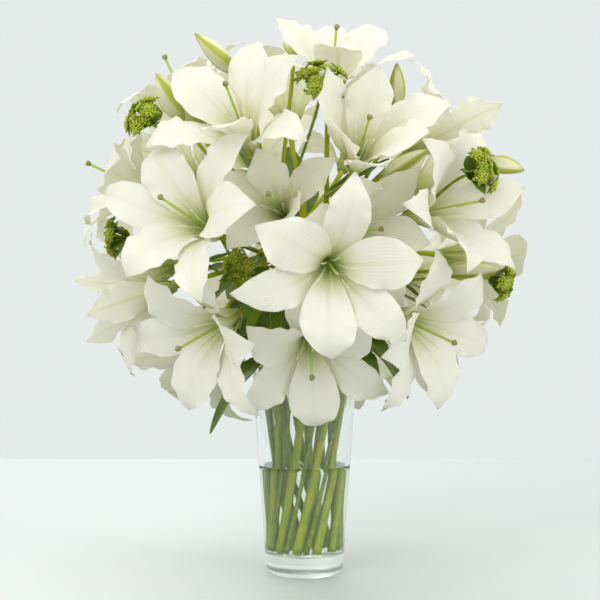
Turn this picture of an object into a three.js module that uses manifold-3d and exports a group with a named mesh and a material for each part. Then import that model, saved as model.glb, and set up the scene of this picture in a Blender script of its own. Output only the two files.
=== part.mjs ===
// White lilies in a tapered clear glass vase, half full of water.
// Millimetres, +Z up, the vase stands on z = 0 about the Z axis, and the best side faces -Y.
// An azimuth turns from the front (-Y) towards +X, an elevation rises from the horizon.
import * as THREE from "three";
import { mergeVertices } from "three/addons/utils/BufferGeometryUtils.js";
import Module from "manifold-3d";

const wasm = await Module();
wasm.setup();

// Vase and water
const VASE = { height: 200, rim: 50.5, foot: 37, corner: 7, rimWall: 3.2, footWall: 4.2, floor: 19 };
const WATER_LEVEL = 103;
const FLOOR_BEVEL = 2;
const SEAT_GAP = 0.3;
const HOLE_GAP = 0.45;
const VASE_SIDES = 36;
const WATER_SIDES = 24;

// Bouquet: the centre of the ball of blooms
const CENTRE = new THREE.Vector3(-6, 0, 322);

// Blooms
const TEPAL_LENGTH = 101;
const INNER_HALF_WIDTH = 24;
const OUTER_HALF_WIDTH = 17.5;
const CLAW_HALF_WIDTH = 2.4;
const BLADE = 0.8;
const CUP = { inner: 3.35, outer: 5.2, low: -1, high: 1.5 };
const CLAW_RADIUS = { inner: 4.2, outer: 5.4 };
const CLAW_ANGLE = { inner: 12, outer: 22 };
const GIRTH_SHARE = 0.88;
const OPENING_POWER = 1.35;
const LEAST_OPEN = 26;
const OPEN_STEP = 3;
const MOST_UNEVEN = 6;
const CLEARANCE = 7;
const FEEL = { reach: 150, from: 0.25, along: 9, across: [-1, -0.5, 0, 0.5, 1] };
const RIM_CLEAR = { radius: 56, height: 206 };
const TEPAL_WAVE = { height: 2.6, turns: 1.9, shift: 0.37 };
const MIDRIB_STEPS = 40;
const TEPAL_ROWS = [0.3, 0.58, 0.84];
const CUP_SIDES = 12;

// Green parts
const STEM_RADIUS = 3.9;
const FILLER_RADIUS = 1.9;
const PEDICEL_RADIUS = 2.2;
const RECEPTACLE_RADIUS = 2.95;
const PISTIL = { length: 76, foot: 1.3, neck: 1.2, stigma: 2, neckAt: 0.94 };
const FILAMENT_LENGTH = 58;
const BUD_STALK_RADIUS = 1.9;
const BUD_FOOT = 0.3;
const BUD_SHAPE = { at: [0, 0.12, 0.45, 0.8, 1], width: [BUD_FOOT, 0.72, 1, 0.62, 0] };
const STRAIGHT_NECK = 3;
const STALK_STEPS = { far: 3, deep: 6 };
const DEEP_OUT = 100;
const HEAD = { stalk: 1.4, top: 2, lean: 0.75, ray: 1.5, thin: 0.75, flower: 4.4, from: 0.6, to: 0.84 };
const LEAF_SHARES = [0, 0.16, 0.22, 0.36, 0.43, 0.58, 0.65, 0.8, 0.86, 1];
const LEAF_NOTCH = 0.84;
const LEAF_CHANNEL = 0.25;

// Each bloom: the direction of its throat from the bouquet's centre (azimuth, elevation) and its distance,
// the way it faces (azimuth, elevation), the turn of its first broad tepal, how wide it opens, and its size.
const BLOOMS = [
  { at: [11, -12], out: 138, face: [5, -14], roll: 258, open: 104, size: 1.04 },
  { at: [-34, -1], out: 132, face: [-30, 16], roll: 115, open: 102, size: 1.04 },
  { at: [54, -35], out: 130, face: [46, -20], roll: 300, open: 100, size: 1.02 },
  { at: [52, 6], out: 124, face: [54, 8], roll: 12, open: 100, size: 1.04 },
  { at: [25, 24], out: 128, face: [8, 28], roll: 88, open: 96, size: 1.05 },
  { at: [8, -52], out: 112, face: [4, -32], roll: 274, open: 98, size: 1.0 },
  { at: [-33, -37], out: 124, face: [-44, -24], roll: 245, open: 98, size: 1.03 },
  { at: [-23, 33], out: 124, face: [-18, 38], roll: 32, open: 94, size: 1.05 },
  { at: [66, 34], out: 132, face: [80, 36], roll: 94, open: 98, size: 1.0 },
  { at: [-70, -22], out: 132, face: [-70, -16], roll: 64, open: 98, size: 1.0 },
  { at: [-76, 14], out: 132, face: [-78, 24], roll: 114, open: 100, size: 1.0 },
  { at: [-80, 46], out: 134, face: [-76, 62], roll: 8, open: 94, size: 0.98 },
  { at: [26, 60], out: 128, face: [10, 62], roll: 30, open: 90, size: 1.0 },
  { at: [-170, 68], out: 112, face: [-170, 68], roll: 60, open: 88, size: 0.98 },
  { at: [88, -8], out: 136, face: [100, -8], roll: 59, open: 92, size: 0.98 },
  { at: [118, 22], out: 130, face: [118, 20], roll: 8, open: 98, size: 1.0 },
  { at: [108, -38], out: 128, face: [108, -46], roll: 83, open: 98, size: 1.0 },
  { at: [132, -12], out: 142, face: [134, -10], roll: 92, open: 100, size: 1.0 },
  { at: [160, -42], out: 130, face: [158, -32], roll: 68, open: 98, size: 1.0 },
  { at: [172, 2], out: 132, face: [172, 4], roll: 90, open: 102, size: 1.04 },
  { at: [150, 38], out: 114, face: [150, 48], roll: 54, open: 98, size: 1.0 },
  { at: [-160, -32], out: 122, face: [-160, -14], roll: 52, open: 98, size: 1.0 },
  { at: [-112, -12], out: 132, face: [-112, -10], roll: 104, open: 100, size: 1.0 },
  { at: [-118, 28], out: 122, face: [-128, 28], roll: 74, open: 98, size: 1.0 },
  { at: [-158, 32], out: 142, face: [-166, 30], roll: 100, open: 98, size: 1.02 },
  { at: [-118, -44], out: 132, face: [-118, -52], roll: 85, open: 94, size: 1.0 },
  { at: [31, -2], out: 64, face: [30, 1], roll: 111, open: 72, size: 1.0 },
  { at: [-9, 10], out: 84, face: [-9, 9], roll: 99, open: 84, size: 0.82 },
];

// Each bud: the direction and distance of its base, the way it points, its length and its radius.
const BUDS = [
  { at: [-54, 38], out: 163, face: [-54, 55], length: 47, radius: 10.5 },
  { at: [-4, 68], out: 172, face: [-178, 52], length: 50, radius: 8.5 },
  { at: [58, 47], out: 155, face: [-3, 50], length: 47, radius: 7.5 },
  { at: [56, 29], out: 104, face: [53, 23], length: 58, radius: 7.5 },
  { at: [76, -14], out: 146, face: [78, 0], length: 54, radius: 9.5 },
  { at: [87, 21], out: 194, face: [51, -16], length: 40, radius: 8.5 },
  { at: [-140, 2], out: 122, face: [-138, 6], length: 62, radius: 8.5 },
  { at: [-38, 58], out: 168, face: [-53, 34], length: 55, radius: 8.5 },
];

// Each head of small green filler flowers: direction and distance of its middle, and its radius.
const HEADS = [
  { at: [-50, 29], out: 205, radius: 16 },
  { at: [-86, -1], out: 177, radius: 16 },
  { at: [8, 40], out: 196, radius: 19 },
  { at: [-27, -17], out: 121, radius: 12 },
  { at: [20, -17], out: 146, radius: 13 },
  { at: [56, 15], out: 205, radius: 18 },
  { at: [71, -13], out: 205, radius: 14 },
  { at: [148, 12], out: 156, radius: 18 },
  { at: [-138, 12], out: 156, radius: 17 },
];

// Each lily stem: where it crosses the rim, how far out its fork lies, and what it carries.
const LILY_STEMS = [
  { rim: 6, ring: "outer", fork: [10, -22, 62], blooms: [0, 5, 27], buds: [] },
  { rim: 46, ring: "outer", fork: [50, -20, 64], blooms: [3, 2, 26], buds: [] },
  { rim: 86, ring: "outer", fork: [84, -18, 66], blooms: [14], buds: [4, 5] },
  { rim: 126, ring: "outer", fork: [124, -16, 62], blooms: [15, 17, 16], buds: [] },
  { rim: 166, ring: "outer", fork: [166, -20, 62], blooms: [19, 18], buds: [] },
  { rim: -154, ring: "outer", fork: [-158, -12, 60], blooms: [24, 21], buds: [] },
  { rim: -114, ring: "outer", fork: [-116, -18, 62], blooms: [22, 25], buds: [6] },
  { rim: -74, ring: "outer", fork: [-76, -14, 62], blooms: [10, 9], buds: [] },
  { rim: -34, ring: "outer", fork: [-34, -18, 62], blooms: [1, 6], buds: [] },
  { rim: 60, ring: "inner", fork: [46, 44, 50], blooms: [4, 12, 8], buds: [2, 3] },
  { rim: 180, ring: "inner", fork: [172, 50, 52], blooms: [13, 20], buds: [] },
  { rim: -60, ring: "inner", fork: [-50, 48, 50], blooms: [7, 11, 23], buds: [0, 1, 7] },
];

// Each filler stem: where it crosses the rim, its fork and the heads that it carries
const FILLER_STEMS = [
  { rim: -14, fork: [-26, 10, 44], heads: [2, 3] },
  { rim: 26, fork: [24, -30, 70], heads: [4] },
  { rim: 66, fork: [66, -38, 78], heads: [5, 6] },
  { rim: 146, fork: [144, -38, 74], heads: [7] },
  { rim: -134, fork: [-138, -34, 70], heads: [8] },
  { rim: -54, fork: [-56, -38, 76], heads: [0, 1] },
];

// Each leaf: the lily stem that it grows from, the share of the way up the stem's bend, the way it heads,
// how far it droops, its length and its half width.
const LEAVES = [
  { stem: 8, share: 0.06, heading: -60, rise: -6, droop: 64, length: 72, halfWidth: 17 },
  { stem: 1, share: 0.24, heading: 58, rise: 4, droop: 64, length: 70, halfWidth: 18 },
  { stem: 1, share: 0.14, heading: 30, rise: -2, droop: 26, length: 66, halfWidth: 13 },
  { stem: 3, share: 0.2, heading: 134, rise: 4, droop: 32, length: 74, halfWidth: 17 },
  { stem: 5, share: 0.2, heading: -140, rise: 4, droop: 32, length: 76, halfWidth: 17 },
  { stem: 7, share: 0.2, heading: -78, rise: 4, droop: 30, length: 76, halfWidth: 16 },
  { stem: 4, share: 0.2, heading: 186, rise: 4, droop: 32, length: 74, halfWidth: 16 },
];

// Directions, smooth steps and seeded draws
const rad = THREE.MathUtils.degToRad;

function direction([azimuth, elevation]) {
  const a = rad(azimuth);
  const e = rad(elevation);
  return new THREE.Vector3(Math.sin(a) * Math.cos(e), -Math.cos(a) * Math.cos(e), Math.sin(e));
}

function placed(item) {
  return direction(item.at).multiplyScalar(item.out).add(CENTRE);
}

function smooth(x) {
  const c = Math.min(1, Math.max(0, x));
  return c * c * (3 - 2 * c);
}

function draw(seed) {
  const x = Math.sin(seed * 12.9898 + 0.6) * 43758.5453;
  return x - Math.floor(x);
}

// Turns a geometry into a solid, and a solid back into a geometry
function solidOf(geometry) {
  const plain = geometry.index ? geometry.toNonIndexed() : geometry.clone();
  plain.deleteAttribute("normal");
  plain.deleteAttribute("uv");
  const merged = mergeVertices(plain, 1e-4);
  const index = merged.index.array;
  const kept = [];
  for (let i = 0; i < index.length; i += 3) {
    const [a, b, c] = [index[i], index[i + 1], index[i + 2]];
    if (a !== b && b !== c && c !== a) kept.push(a, b, c);
  }
  const faces = new Uint32Array(kept);
  const vertices = merged.attributes.position.array;
  const made = new wasm.Manifold(new wasm.Mesh({ numProp: 3, vertProperties: vertices, triVerts: faces }));
  if (made.volume() > 0) return made;
  const turned = faces.map((_, i) => faces[i - (i % 3) + ((3 - (i % 3)) % 3)]);
  return new wasm.Manifold(new wasm.Mesh({ numProp: 3, vertProperties: vertices, triVerts: turned }));
}

function geometryOf(solid) {
  const mesh = solid.getMesh();
  const positions = new Float32Array(mesh.numVert * 3);
  for (let i = 0; i < mesh.numVert; i++) {
    const at = i * mesh.numProp;
    positions.set(mesh.vertProperties.subarray(at, at + 3), i * 3);
  }
  const geometry = new THREE.BufferGeometry();
  geometry.setAttribute("position", new THREE.BufferAttribute(positions, 3));
  geometry.setIndex(new THREE.BufferAttribute(mesh.triVerts, 1));
  return geometry;
}

function surface(points, faces) {
  const geometry = new THREE.BufferGeometry();
  geometry.setFromPoints(points);
  geometry.setIndex(faces.flat());
  return geometry;
}

// A round bar along points, with a radius at each point, closed at its start and open at its last ring
function tube(points, radii, sides) {
  const vertices = [];
  const faces = [];
  const side = new THREE.Vector3(1, 0, 0);
  const rings = points.map((p, i) => {
    const before = points[Math.max(0, i - 1)];
    const after = points[Math.min(points.length - 1, i + 1)];
    const tangent = after.clone().sub(before).normalize();
    if (i === 0 && Math.abs(tangent.x) > 0.8) side.set(0, 1, 0);
    side.addScaledVector(tangent, -side.dot(tangent)).normalize();
    return ringAt(vertices, p, tangent, side, radii[i], sides);
  });
  for (let k = 1; k + 1 < sides; k++) faces.push([rings[0][0], rings[0][k + 1], rings[0][k]]);
  for (let i = 0; i + 1 < rings.length; i++) joinRings(faces, rings[i], rings[i + 1]);
  return { vertices, faces, top: rings[rings.length - 1] };
}

// A ring of points that turns anticlockwise about its axis. A radius of 0 gives one point.
function ringAt(vertices, centre, axis, side, radius, sides) {
  const other = axis.clone().cross(side);
  return Array.from({ length: radius > 0 ? sides : 1 }, (_, k) => {
    const a = (2 * Math.PI * k) / sides;
    const p = centre.clone().addScaledVector(side, radius * Math.cos(a));
    p.addScaledVector(other, radius * Math.sin(a));
    return vertices.push(p) - 1;
  });
}

function joinRings(faces, low, high) {
  low.forEach((a, k) => {
    const n = (k + 1) % low.length;
    if (high.length === 1) faces.push([a, low[n], high[0]]);
    else faces.push([a, low[n], high[n]], [a, high[n], high[k]]);
  });
}

function closeRing(faces, ring) {
  for (let k = 1; k + 1 < ring.length; k++) faces.push([ring[0], ring[k], ring[k + 1]]);
}

// A whole bar. A last radius of 0 makes a pointed end.
function sweep(points, radii, sides) {
  const { vertices, faces, top } = tube(points, radii, sides);
  closeRing(faces, top);
  return solidOf(surface(vertices, faces));
}

// The two faces of a thin blade about rows of middle points, from row `first` on. The last row is the tip.
function offsetFaces(rows, thickness, first) {
  const upper = [];
  const lower = [];
  for (let i = first; i < rows.length; i++) {
    const row = rows[i];
    const tip = row.length === 1;
    const normals = row.map((p, j) => {
      const before = rows[Math.max(0, i - 1)];
      const after = rows[Math.min(rows.length - 1, i + 1)];
      const middle = (before.length - 1) / 2;
      const along = after[after.length === 1 ? 0 : j].clone().sub(before[tip ? middle : j]);
      const across = tip
        ? before[before.length - 1].clone().sub(before[0])
        : row[Math.min(row.length - 1, j + 1)].clone().sub(row[Math.max(0, j - 1)]);
      return along.cross(across).normalize();
    });
    upper.push(row.map((p, j) => p.clone().addScaledVector(normals[j], thickness / 2)));
    lower.push(row.map((p, j) => p.clone().addScaledVector(normals[j], -thickness / 2)));
  }
  return { upper, lower };
}

// Triangles between the rows of a blade's two faces, split alike on both, with its sides and its tip
function bladeFaces(up, down) {
  const faces = [];
  const quad = (a, b, c, d) => faces.push([a, b, c], [a, c, d]);
  const last = up.length - 2;
  const side = up[0].length - 1;
  for (let i = 0; i < last; i++) {
    const n = i + 1;
    for (let j = 0; j < side; j++) {
      quad(up[i][j], up[n][j], up[n][j + 1], up[i][j + 1]);
      quad(down[n][j + 1], down[n][j], down[i][j], down[i][j + 1]);
    }
    quad(down[i][0], down[n][0], up[n][0], up[i][0]);
    quad(up[i][side], up[n][side], down[n][side], down[i][side]);
  }
  const [upTip] = up[last + 1];
  const [downTip] = down[last + 1];
  for (let j = 0; j < side; j++) {
    faces.push([up[last][j], upTip, up[last][j + 1]], [down[last][j], down[last][j + 1], downTip]);
  }
  faces.push([down[last][0], downTip, upTip], [down[last][0], upTip, up[last][0]]);
  faces.push([up[last][side], upTip, downTip], [up[last][side], downTip, down[last][side]]);
  return faces;
}

// A closed leaf blade about rows of middle points, the last row being its tip
function leafBlade(rows, thickness) {
  const { upper, lower } = offsetFaces(rows, thickness, 0);
  const points = [];
  const stored = (part) => part.map((row) => row.map((p) => points.push(p) - 1));
  const up = stored(upper);
  const down = stored(lower);
  const faces = bladeFaces(up, down);
  for (let j = 0; j + 1 < up[0].length; j++) {
    faces.push([up[0][j], up[0][j + 1], down[0][j + 1]], [up[0][j], down[0][j + 1], down[0][j]]);
  }
  return solidOf(surface(points, faces));
}

function joined(solids) {
  return wasm.Manifold.union(solids);
}

// A bloom's own frame: throat, facing, and the two directions across it (right and up as seen from the front)
function bloomFrame(bloom) {
  const throat = placed(bloom);
  const facing = direction(bloom.face);
  const right = new THREE.Vector3(0, 0, 1).cross(facing).normalize();
  const up = facing.clone().cross(right);
  return { throat, facing, right, up };
}

const FRAMES = BLOOMS.map(bloomFrame);

// A tepal's own draws: its turn, size, curl, channel, drift and wave
function tepalTraits(i, k) {
  const bloom = BLOOMS[i];
  const seed = i * 31 + k * 5;
  const layer = k % 2 === 0 ? "inner" : "outer";
  const inner = layer === "inner";
  return {
    layer,
    turn: rad(bloom.roll + k * 60),
    drift: rad((draw(seed) - 0.5) * 28),
    length: TEPAL_LENGTH * bloom.size * (inner ? 1 : 1.03) * (0.96 + 0.08 * draw(seed + 1)),
    halfWidth: (inner ? INNER_HALF_WIDTH : OUTER_HALF_WIDTH) * bloom.size,
    curl: 15 + 25 * draw(seed + 2),
    channel: (draw(seed + 3) - 0.3) * 0.01,
    twist: rad((draw(seed + 4) - 0.5) * 10),
    wave: draw(seed + 5),
  };
}

// Half the width of a tepal at the share t of its length. Near the claw the bloom's girth limits it.
function halfWidthAt(traits, t, distance) {
  const blade = 4.06 * Math.pow(t, 1.25) * Math.pow(1 - t, 0.85);
  const full = CLAW_HALF_WIDTH * (1 - t) + traits.halfWidth * blade;
  return full / Math.pow(1 + Math.pow(full / (GIRTH_SHARE * distance), 4), 0.25);
}

// The midrib as distances from the axis and along it, from its slope, which grows from the claw to the tip
function midribOf(traits, open) {
  const curl = traits.curl * smooth((open - 45) / 45);
  const claw = CLAW_ANGLE[traits.layer];
  const out = [CLAW_RADIUS[traits.layer]];
  const along = [0];
  const slope = [];
  const step = traits.length / MIDRIB_STEPS;
  for (let i = 0; i <= MIDRIB_STEPS; i++) {
    const t = i / MIDRIB_STEPS;
    slope.push(rad(claw + (open - claw) * Math.pow(t, OPENING_POWER) + curl * smooth((t - 0.7) / 0.3)));
  }
  for (let i = 0; i < MIDRIB_STEPS; i++) {
    const middle = (slope[i] + slope[i + 1]) / 2;
    out.push(out[i] + step * Math.sin(middle));
    along.push(along[i] + step * Math.cos(middle));
  }
  return { out, along, slope };
}

function mixed(values, t) {
  const x = t * MIDRIB_STEPS;
  const i = Math.min(MIDRIB_STEPS - 1, Math.floor(x));
  return values[i] + (values[i + 1] - values[i]) * (x - i);
}

// Two square directions after a turn from the first towards the second
function turned(first, second, angle) {
  const c = Math.cos(angle);
  const s = Math.sin(angle);
  const a = first.clone().multiplyScalar(c).addScaledVector(second, s);
  const b = second.clone().multiplyScalar(c).addScaledVector(first, -s);
  return [a, b];
}

// The point of a tepal at the share t of its length and the share across (-1 to 1) of its width. Near the
// claw the tepal is rolled round the bloom's axis, and it flattens as it opens.
function tepalPoint({ throat, facing, right, up }, traits, rib, t, across) {
  const turn = traits.turn + traits.drift * t * t;
  const [outward, sideways] = turned(right, up, turn);
  const [inward] = turned(facing, outward, mixed(rib.slope, t) - Math.PI / 2);
  const [lateral, normal] = turned(sideways, inward, traits.twist * t * t);
  const distance = mixed(rib.out, t);
  const rolled = 1 - smooth((t - 0.22) / 0.4);
  const bend = rolled / distance + (1 - rolled) * (0.004 + traits.channel);
  const x = across * halfWidthAt(traits, t, distance);
  const edge = Math.pow(Math.abs(across), 3) * smooth((t - 0.25) * 2.5) * smooth((1 - t) * 4);
  const phase = traits.wave + (across > 0 ? TEPAL_WAVE.shift : 0) + TEPAL_WAVE.turns * t;
  const ripple = TEPAL_WAVE.height * edge * Math.sin(2 * Math.PI * phase);
  return throat
    .clone()
    .addScaledVector(outward, distance)
    .addScaledVector(facing, mixed(rib.along, t))
    .addScaledVector(lateral, Math.sin(bend * x) / bend)
    .addScaledVector(normal, (1 - Math.cos(bend * x)) / bend + ripple);
}

// What the tepals keep clear of: the pistil and filaments of every bloom, the stalks, the buds and the heads
function obstaclesAtFirst() {
  const found = [];
  const add = (point, radius, owner) => found.push({ point, radius, owner });
  FRAMES.forEach(({ throat, facing }, i) => {
    for (let h = 0; h <= PISTIL.length + 4; h += 8) {
      add(throat.clone().addScaledVector(facing, h), 1 + 0.18 * h, i);
    }
    const stem = LILY_STEMS.find(({ blooms }) => blooms.includes(i));
    const share = shareOf(stem, stem.blooms.indexOf(i));
    for (const point of stalk(stem, share, throat, facing, 8)) add(point, 3, i);
  });
  for (const bud of BUDS) {
    const facing = direction(bud.face);
    for (let h = 0; h <= bud.length; h += 8) {
      add(placed(bud).addScaledVector(facing, h), bud.radius * 0.8, -1);
    }
  }
  for (const head of HEADS) add(placed(head), head.radius, -1);
  return found;
}

function feelers(i, k, open) {
  const traits = tepalTraits(i, k);
  const rib = midribOf(traits, open);
  const points = [];
  for (let n = 0; n <= FEEL.along; n++) {
    const t = FEEL.from + ((1 - FEEL.from) * n) / FEEL.along;
    for (const across of FEEL.across) points.push(tepalPoint(FRAMES[i], traits, rib, t, across));
  }
  return points;
}

function blocked(points, obstacles) {
  return points.some(
    (p) =>
      (p.z < RIM_CLEAR.height && Math.hypot(p.x, p.y) < RIM_CLEAR.radius) ||
      obstacles.some(({ point, radius }) => p.distanceToSquared(point) < (radius + CLEARANCE) ** 2),
  );
}

// How wide each tepal opens: bloom after bloom, the outer tepals first, each as wide as it can without
// touching what is already there
function openingsOfAll() {
  const obstacles = obstaclesAtFirst();
  return BLOOMS.map((bloom, i) => {
    const near = obstacles.filter(
      ({ point, owner }) => owner !== i && point.distanceTo(FRAMES[i].throat) < FEEL.reach,
    );
    const openings = [0, 0, 0, 0, 0, 0];
    for (const k of [1, 3, 5, 0, 2, 4]) {
      const beside = k % 2 === 0 ? Math.min(openings[k + 1], openings[(k + 5) % 6]) : bloom.open;
      let open = Math.min(bloom.open, beside + MOST_UNEVEN);
      while (open > LEAST_OPEN && blocked(feelers(i, k, open), near)) open -= OPEN_STEP;
      openings[k] = Math.max(open, LEAST_OPEN);
    }
    openings.forEach((open, k) => {
      for (const point of feelers(i, k, open)) obstacles.push({ point, radius: 0, owner: i });
    });
    return openings;
  });
}

// The rows of points on both faces of a tepal, with its tip last
function tepalFaces(i, k) {
  const traits = tepalTraits(i, k);
  const rib = midribOf(traits, OPENINGS[i][k]);
  const at = (t, across) => tepalPoint(FRAMES[i], traits, rib, t, across);
  const rows = TEPAL_ROWS.map((t) => [-1, 0, 1].map((across) => at(t, across)));
  rows.push([at(1, 0)]);
  return offsetFaces([[-1, 0, 1].map((across) => at(TEPAL_ROWS[0] - 0.15, across)), ...rows], BLADE, 1);
}

// The six tepals grow from a short cup round the receptacle: the broad inner ones from its upper face and the
// narrow outer ones from its side. Ring points stand at twelve stations, three of them to a tepal.
function corolla(i) {
  const { throat, facing, right } = FRAMES[i];
  const points = [];
  const faces = [];
  const quad = (a, b, c, d) => faces.push([a, b, c], [a, c, d]);
  const ring = (radius, height) =>
    Array.from({ length: CUP_SIDES }, (_, s) => {
      const outward = right.clone().applyAxisAngle(facing, rad(BLOOMS[i].roll + (360 * s) / CUP_SIDES));
      points.push(throat.clone().addScaledVector(outward, radius).addScaledVector(facing, height));
      return points.length - 1;
    });
  const innerLow = ring(CUP.inner, CUP.low);
  const innerTop = ring(CUP.inner, CUP.high);
  const outerLow = ring(CUP.outer, CUP.low);
  const outerTop = ring(CUP.outer, CUP.high);
  for (let s = 0; s < CUP_SIDES; s++) {
    const n = (s + 1) % CUP_SIDES;
    quad(innerLow[s], innerTop[s], innerTop[n], innerLow[n]);
    quad(innerLow[s], innerLow[n], outerLow[n], outerLow[s]);
    const underOuterTepal = Math.floor(((s + 1) % CUP_SIDES) / 2) % 2 === 1;
    if (underOuterTepal) quad(outerTop[s], outerTop[n], innerTop[n], innerTop[s]);
    else quad(outerLow[s], outerLow[n], outerTop[n], outerTop[s]);
  }
  for (let k = 0; k < 6; k++) {
    const stations = [2 * k + CUP_SIDES - 1, 2 * k, 2 * k + 1].map((s) => s % CUP_SIDES);
    const [from, to] = k % 2 === 0 ? [innerTop, outerTop] : [outerTop, outerLow];
    const { upper, lower } = tepalFaces(i, k);
    const stored = (rows) => rows.map((row) => row.map((p) => points.push(p) - 1));
    const up = [stations.map((s) => from[s]), ...stored(upper)];
    const down = [stations.map((s) => to[s]), ...stored(lower)];
    faces.push(...bladeFaces(up, down));
  }
  return solidOf(surface(points, faces));
}

// A stem's way through the vase: a straight ruling from the floor to the rim, so that stems wind round
// each other without touching
const RINGS = {
  outer: { low: 24, high: 42.3, wind: 62 },
  inner: { low: 10, high: 26, wind: 60 },
  filler: { low: 25.5, high: 44, wind: 62 },
};

function rulingOf({ rim, ring }) {
  const { low, high, wind } = RINGS[ring || "filler"];
  const start = direction([rim - wind, 0]).multiplyScalar(low);
  const end = direction([rim, 0]).multiplyScalar(high);
  start.z = VASE.floor + 3.2;
  end.z = VASE.height + 4;
  return [start, end];
}

// Above the rim the stem bends to its fork
function bendOf(stem) {
  const [start, end] = rulingOf(stem);
  const along = end.clone().sub(start).normalize();
  const [azimuth, elevation, distance] = stem.fork;
  const top = direction([azimuth, elevation]).multiplyScalar(distance).add(CENTRE);
  const lead = end.distanceTo(top) * 0.4;
  const above = end.clone().addScaledVector(along, lead);
  return new THREE.CubicBezierCurve3(end, above, top.clone().lerp(end, 0.3), top);
}

function mainStem(stem, radius, sides) {
  const points = [rulingOf(stem)[0], ...bendOf(stem).getPoints(3)];
  return sweep(points, points.map((_, i) => radius * (1 - 0.05 * i)), sides);
}

// A stalk from a point on the stem's bend to a base point, which it meets along a facing direction
function stalk(stem, share, base, facing, steps) {
  const from = bendOf(stem).getPoint(share);
  const reach = from.distanceTo(base);
  const ahead = base.clone().addScaledVector(facing, -Math.min(30, reach * 0.5));
  const curve = new THREE.CubicBezierCurve3(from, from.clone().lerp(base, 0.35), ahead, base);
  return curve.getPoints(steps);
}

// The stalks leave the last stretch of the bend one below the other
function shareOf(stem, n) {
  return 1 - (0.5 * n) / Math.max(3, stem.blooms.length + stem.buds.length);
}

// The stalk of a bloom widens to the receptacle. The pistil rises from the middle of the receptacle's top,
// and three of the filaments from the rim round it. A bloom deep in the bouquet stands near its fork, where the
// stalk turns sharply and has more steps.
function pedicel(stem, share, i) {
  const { throat, facing, right, up } = FRAMES[i];
  const steps = BLOOMS[i].out < DEEP_OUT ? STALK_STEPS.deep : STALK_STEPS.far;
  const points = stalk(stem, share, throat, facing, steps);
  const head = throat.clone().addScaledVector(facing, CUP.high + 2);
  const radii = [...points.slice(1).map(() => PEDICEL_RADIUS), RECEPTACLE_RADIUS, RECEPTACLE_RADIUS];
  const { vertices, faces, top } = tube([...points, head], radii, 5);
  const least = Math.min(...OPENINGS[i]);
  const spread = rad(Math.min(13, 4 + least * 0.12));
  const lean = right.clone().multiplyScalar((draw(i + 400) - 0.5) * 14);
  lean.addScaledVector(up, 7 * draw(i + 500)).multiplyScalar(smooth((least - 25) / 40));
  const outwards = top.map((v) => vertices[v].clone().sub(head).normalize());
  const pistilRing = (height, radius) => {
    const middle = head.clone().addScaledVector(facing, PISTIL.length * height);
    middle.addScaledVector(lean, height * height);
    return outwards.map((outward) => vertices.push(middle.clone().addScaledVector(outward, radius)) - 1);
  };
  const foot = pistilRing(0, PISTIL.foot);
  const neck = pistilRing(PISTIL.neckAt, PISTIL.neck);
  const stigma = pistilRing(1, PISTIL.stigma);
  joinRings(faces, foot, neck);
  joinRings(faces, neck, stigma);
  closeRing(faces, stigma);
  top.forEach((a, k) => {
    const n = (k + 1) % top.length;
    const quad = [a, top[n], foot[n], foot[k]];
    if (k === 1 || k === 4) {
      closeRing(faces, quad);
      return;
    }
    const outward = outwards[k].clone().add(outwards[n]).normalize();
    const tip = head.clone().addScaledVector(outward, 2 + FILAMENT_LENGTH * Math.sin(spread));
    tip.addScaledVector(facing, FILAMENT_LENGTH * Math.cos(spread));
    joinRings(faces, quad, [vertices.push(tip) - 1]);
  });
  return solidOf(surface(vertices, faces));
}

function lilyStem(stem) {
  const parts = [mainStem(stem, STEM_RADIUS, 6)];
  stem.blooms.forEach((i, n) => parts.push(pedicel(stem, shareOf(stem, n), i)));
  stem.buds.forEach((b, n) => {
    const facing = direction(BUDS[b].face);
    const base = placed(BUDS[b]).addScaledVector(facing, -SEAT_GAP);
    const neck = base.clone().addScaledVector(facing, -STRAIGHT_NECK);
    const points = [...stalk(stem, shareOf(stem, stem.blooms.length + n), neck, facing, 2), base];
    const thin = BUD_STALK_RADIUS - 0.1;
    parts.push(sweep(points, [BUD_STALK_RADIUS, thin, thin, BUD_FOOT * BUDS[b].radius], 5));
  });
  const leaves = LEAVES.filter((leaf) => LILY_STEMS[leaf.stem] === stem);
  parts.push(...leaves.map((leaf) => leafOn(stem, leaf)));
  return joined(parts);
}

// A leaf with a toothed edge, folded up a little along its middle
function leafOn(stem, leaf) {
  const from = bendOf(stem).getPoint(leaf.share);
  const outward = direction([leaf.heading, leaf.rise]);
  const level = direction([leaf.heading + 90, 0]);
  const rows = LEAF_SHARES.map((t, n) => {
    const width = leaf.halfWidth * Math.pow(Math.sin(Math.PI * Math.pow(t, 0.8)), 0.8);
    const notch = n % 2 === 0 ? LEAF_NOTCH : 1;
    const middle = from
      .clone()
      .addScaledVector(outward, leaf.length * t)
      .addScaledVector(new THREE.Vector3(0, 0, -1), leaf.droop * t * t);
    if (t === 1) return [middle];
    return [-1, 0, 1].map((across) =>
      middle
        .clone()
        .addScaledVector(level, across * Math.max(1.2, width * notch))
        .addScaledVector(new THREE.Vector3(0, 0, 1), Math.abs(across) * width * LEAF_CHANNEL),
    );
  });
  return leafBlade(rows, BLADE);
}

// A bud is a slim spindle with six flat sides
function bud({ face, length, radius, ...place }) {
  const facing = direction(face);
  const base = placed(place);
  const points = BUD_SHAPE.at.map((t) => base.clone().addScaledVector(facing, t * length));
  const radii = BUD_SHAPE.width.map((width) => width * radius);
  return sweep(points, radii, 6);
}

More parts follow.
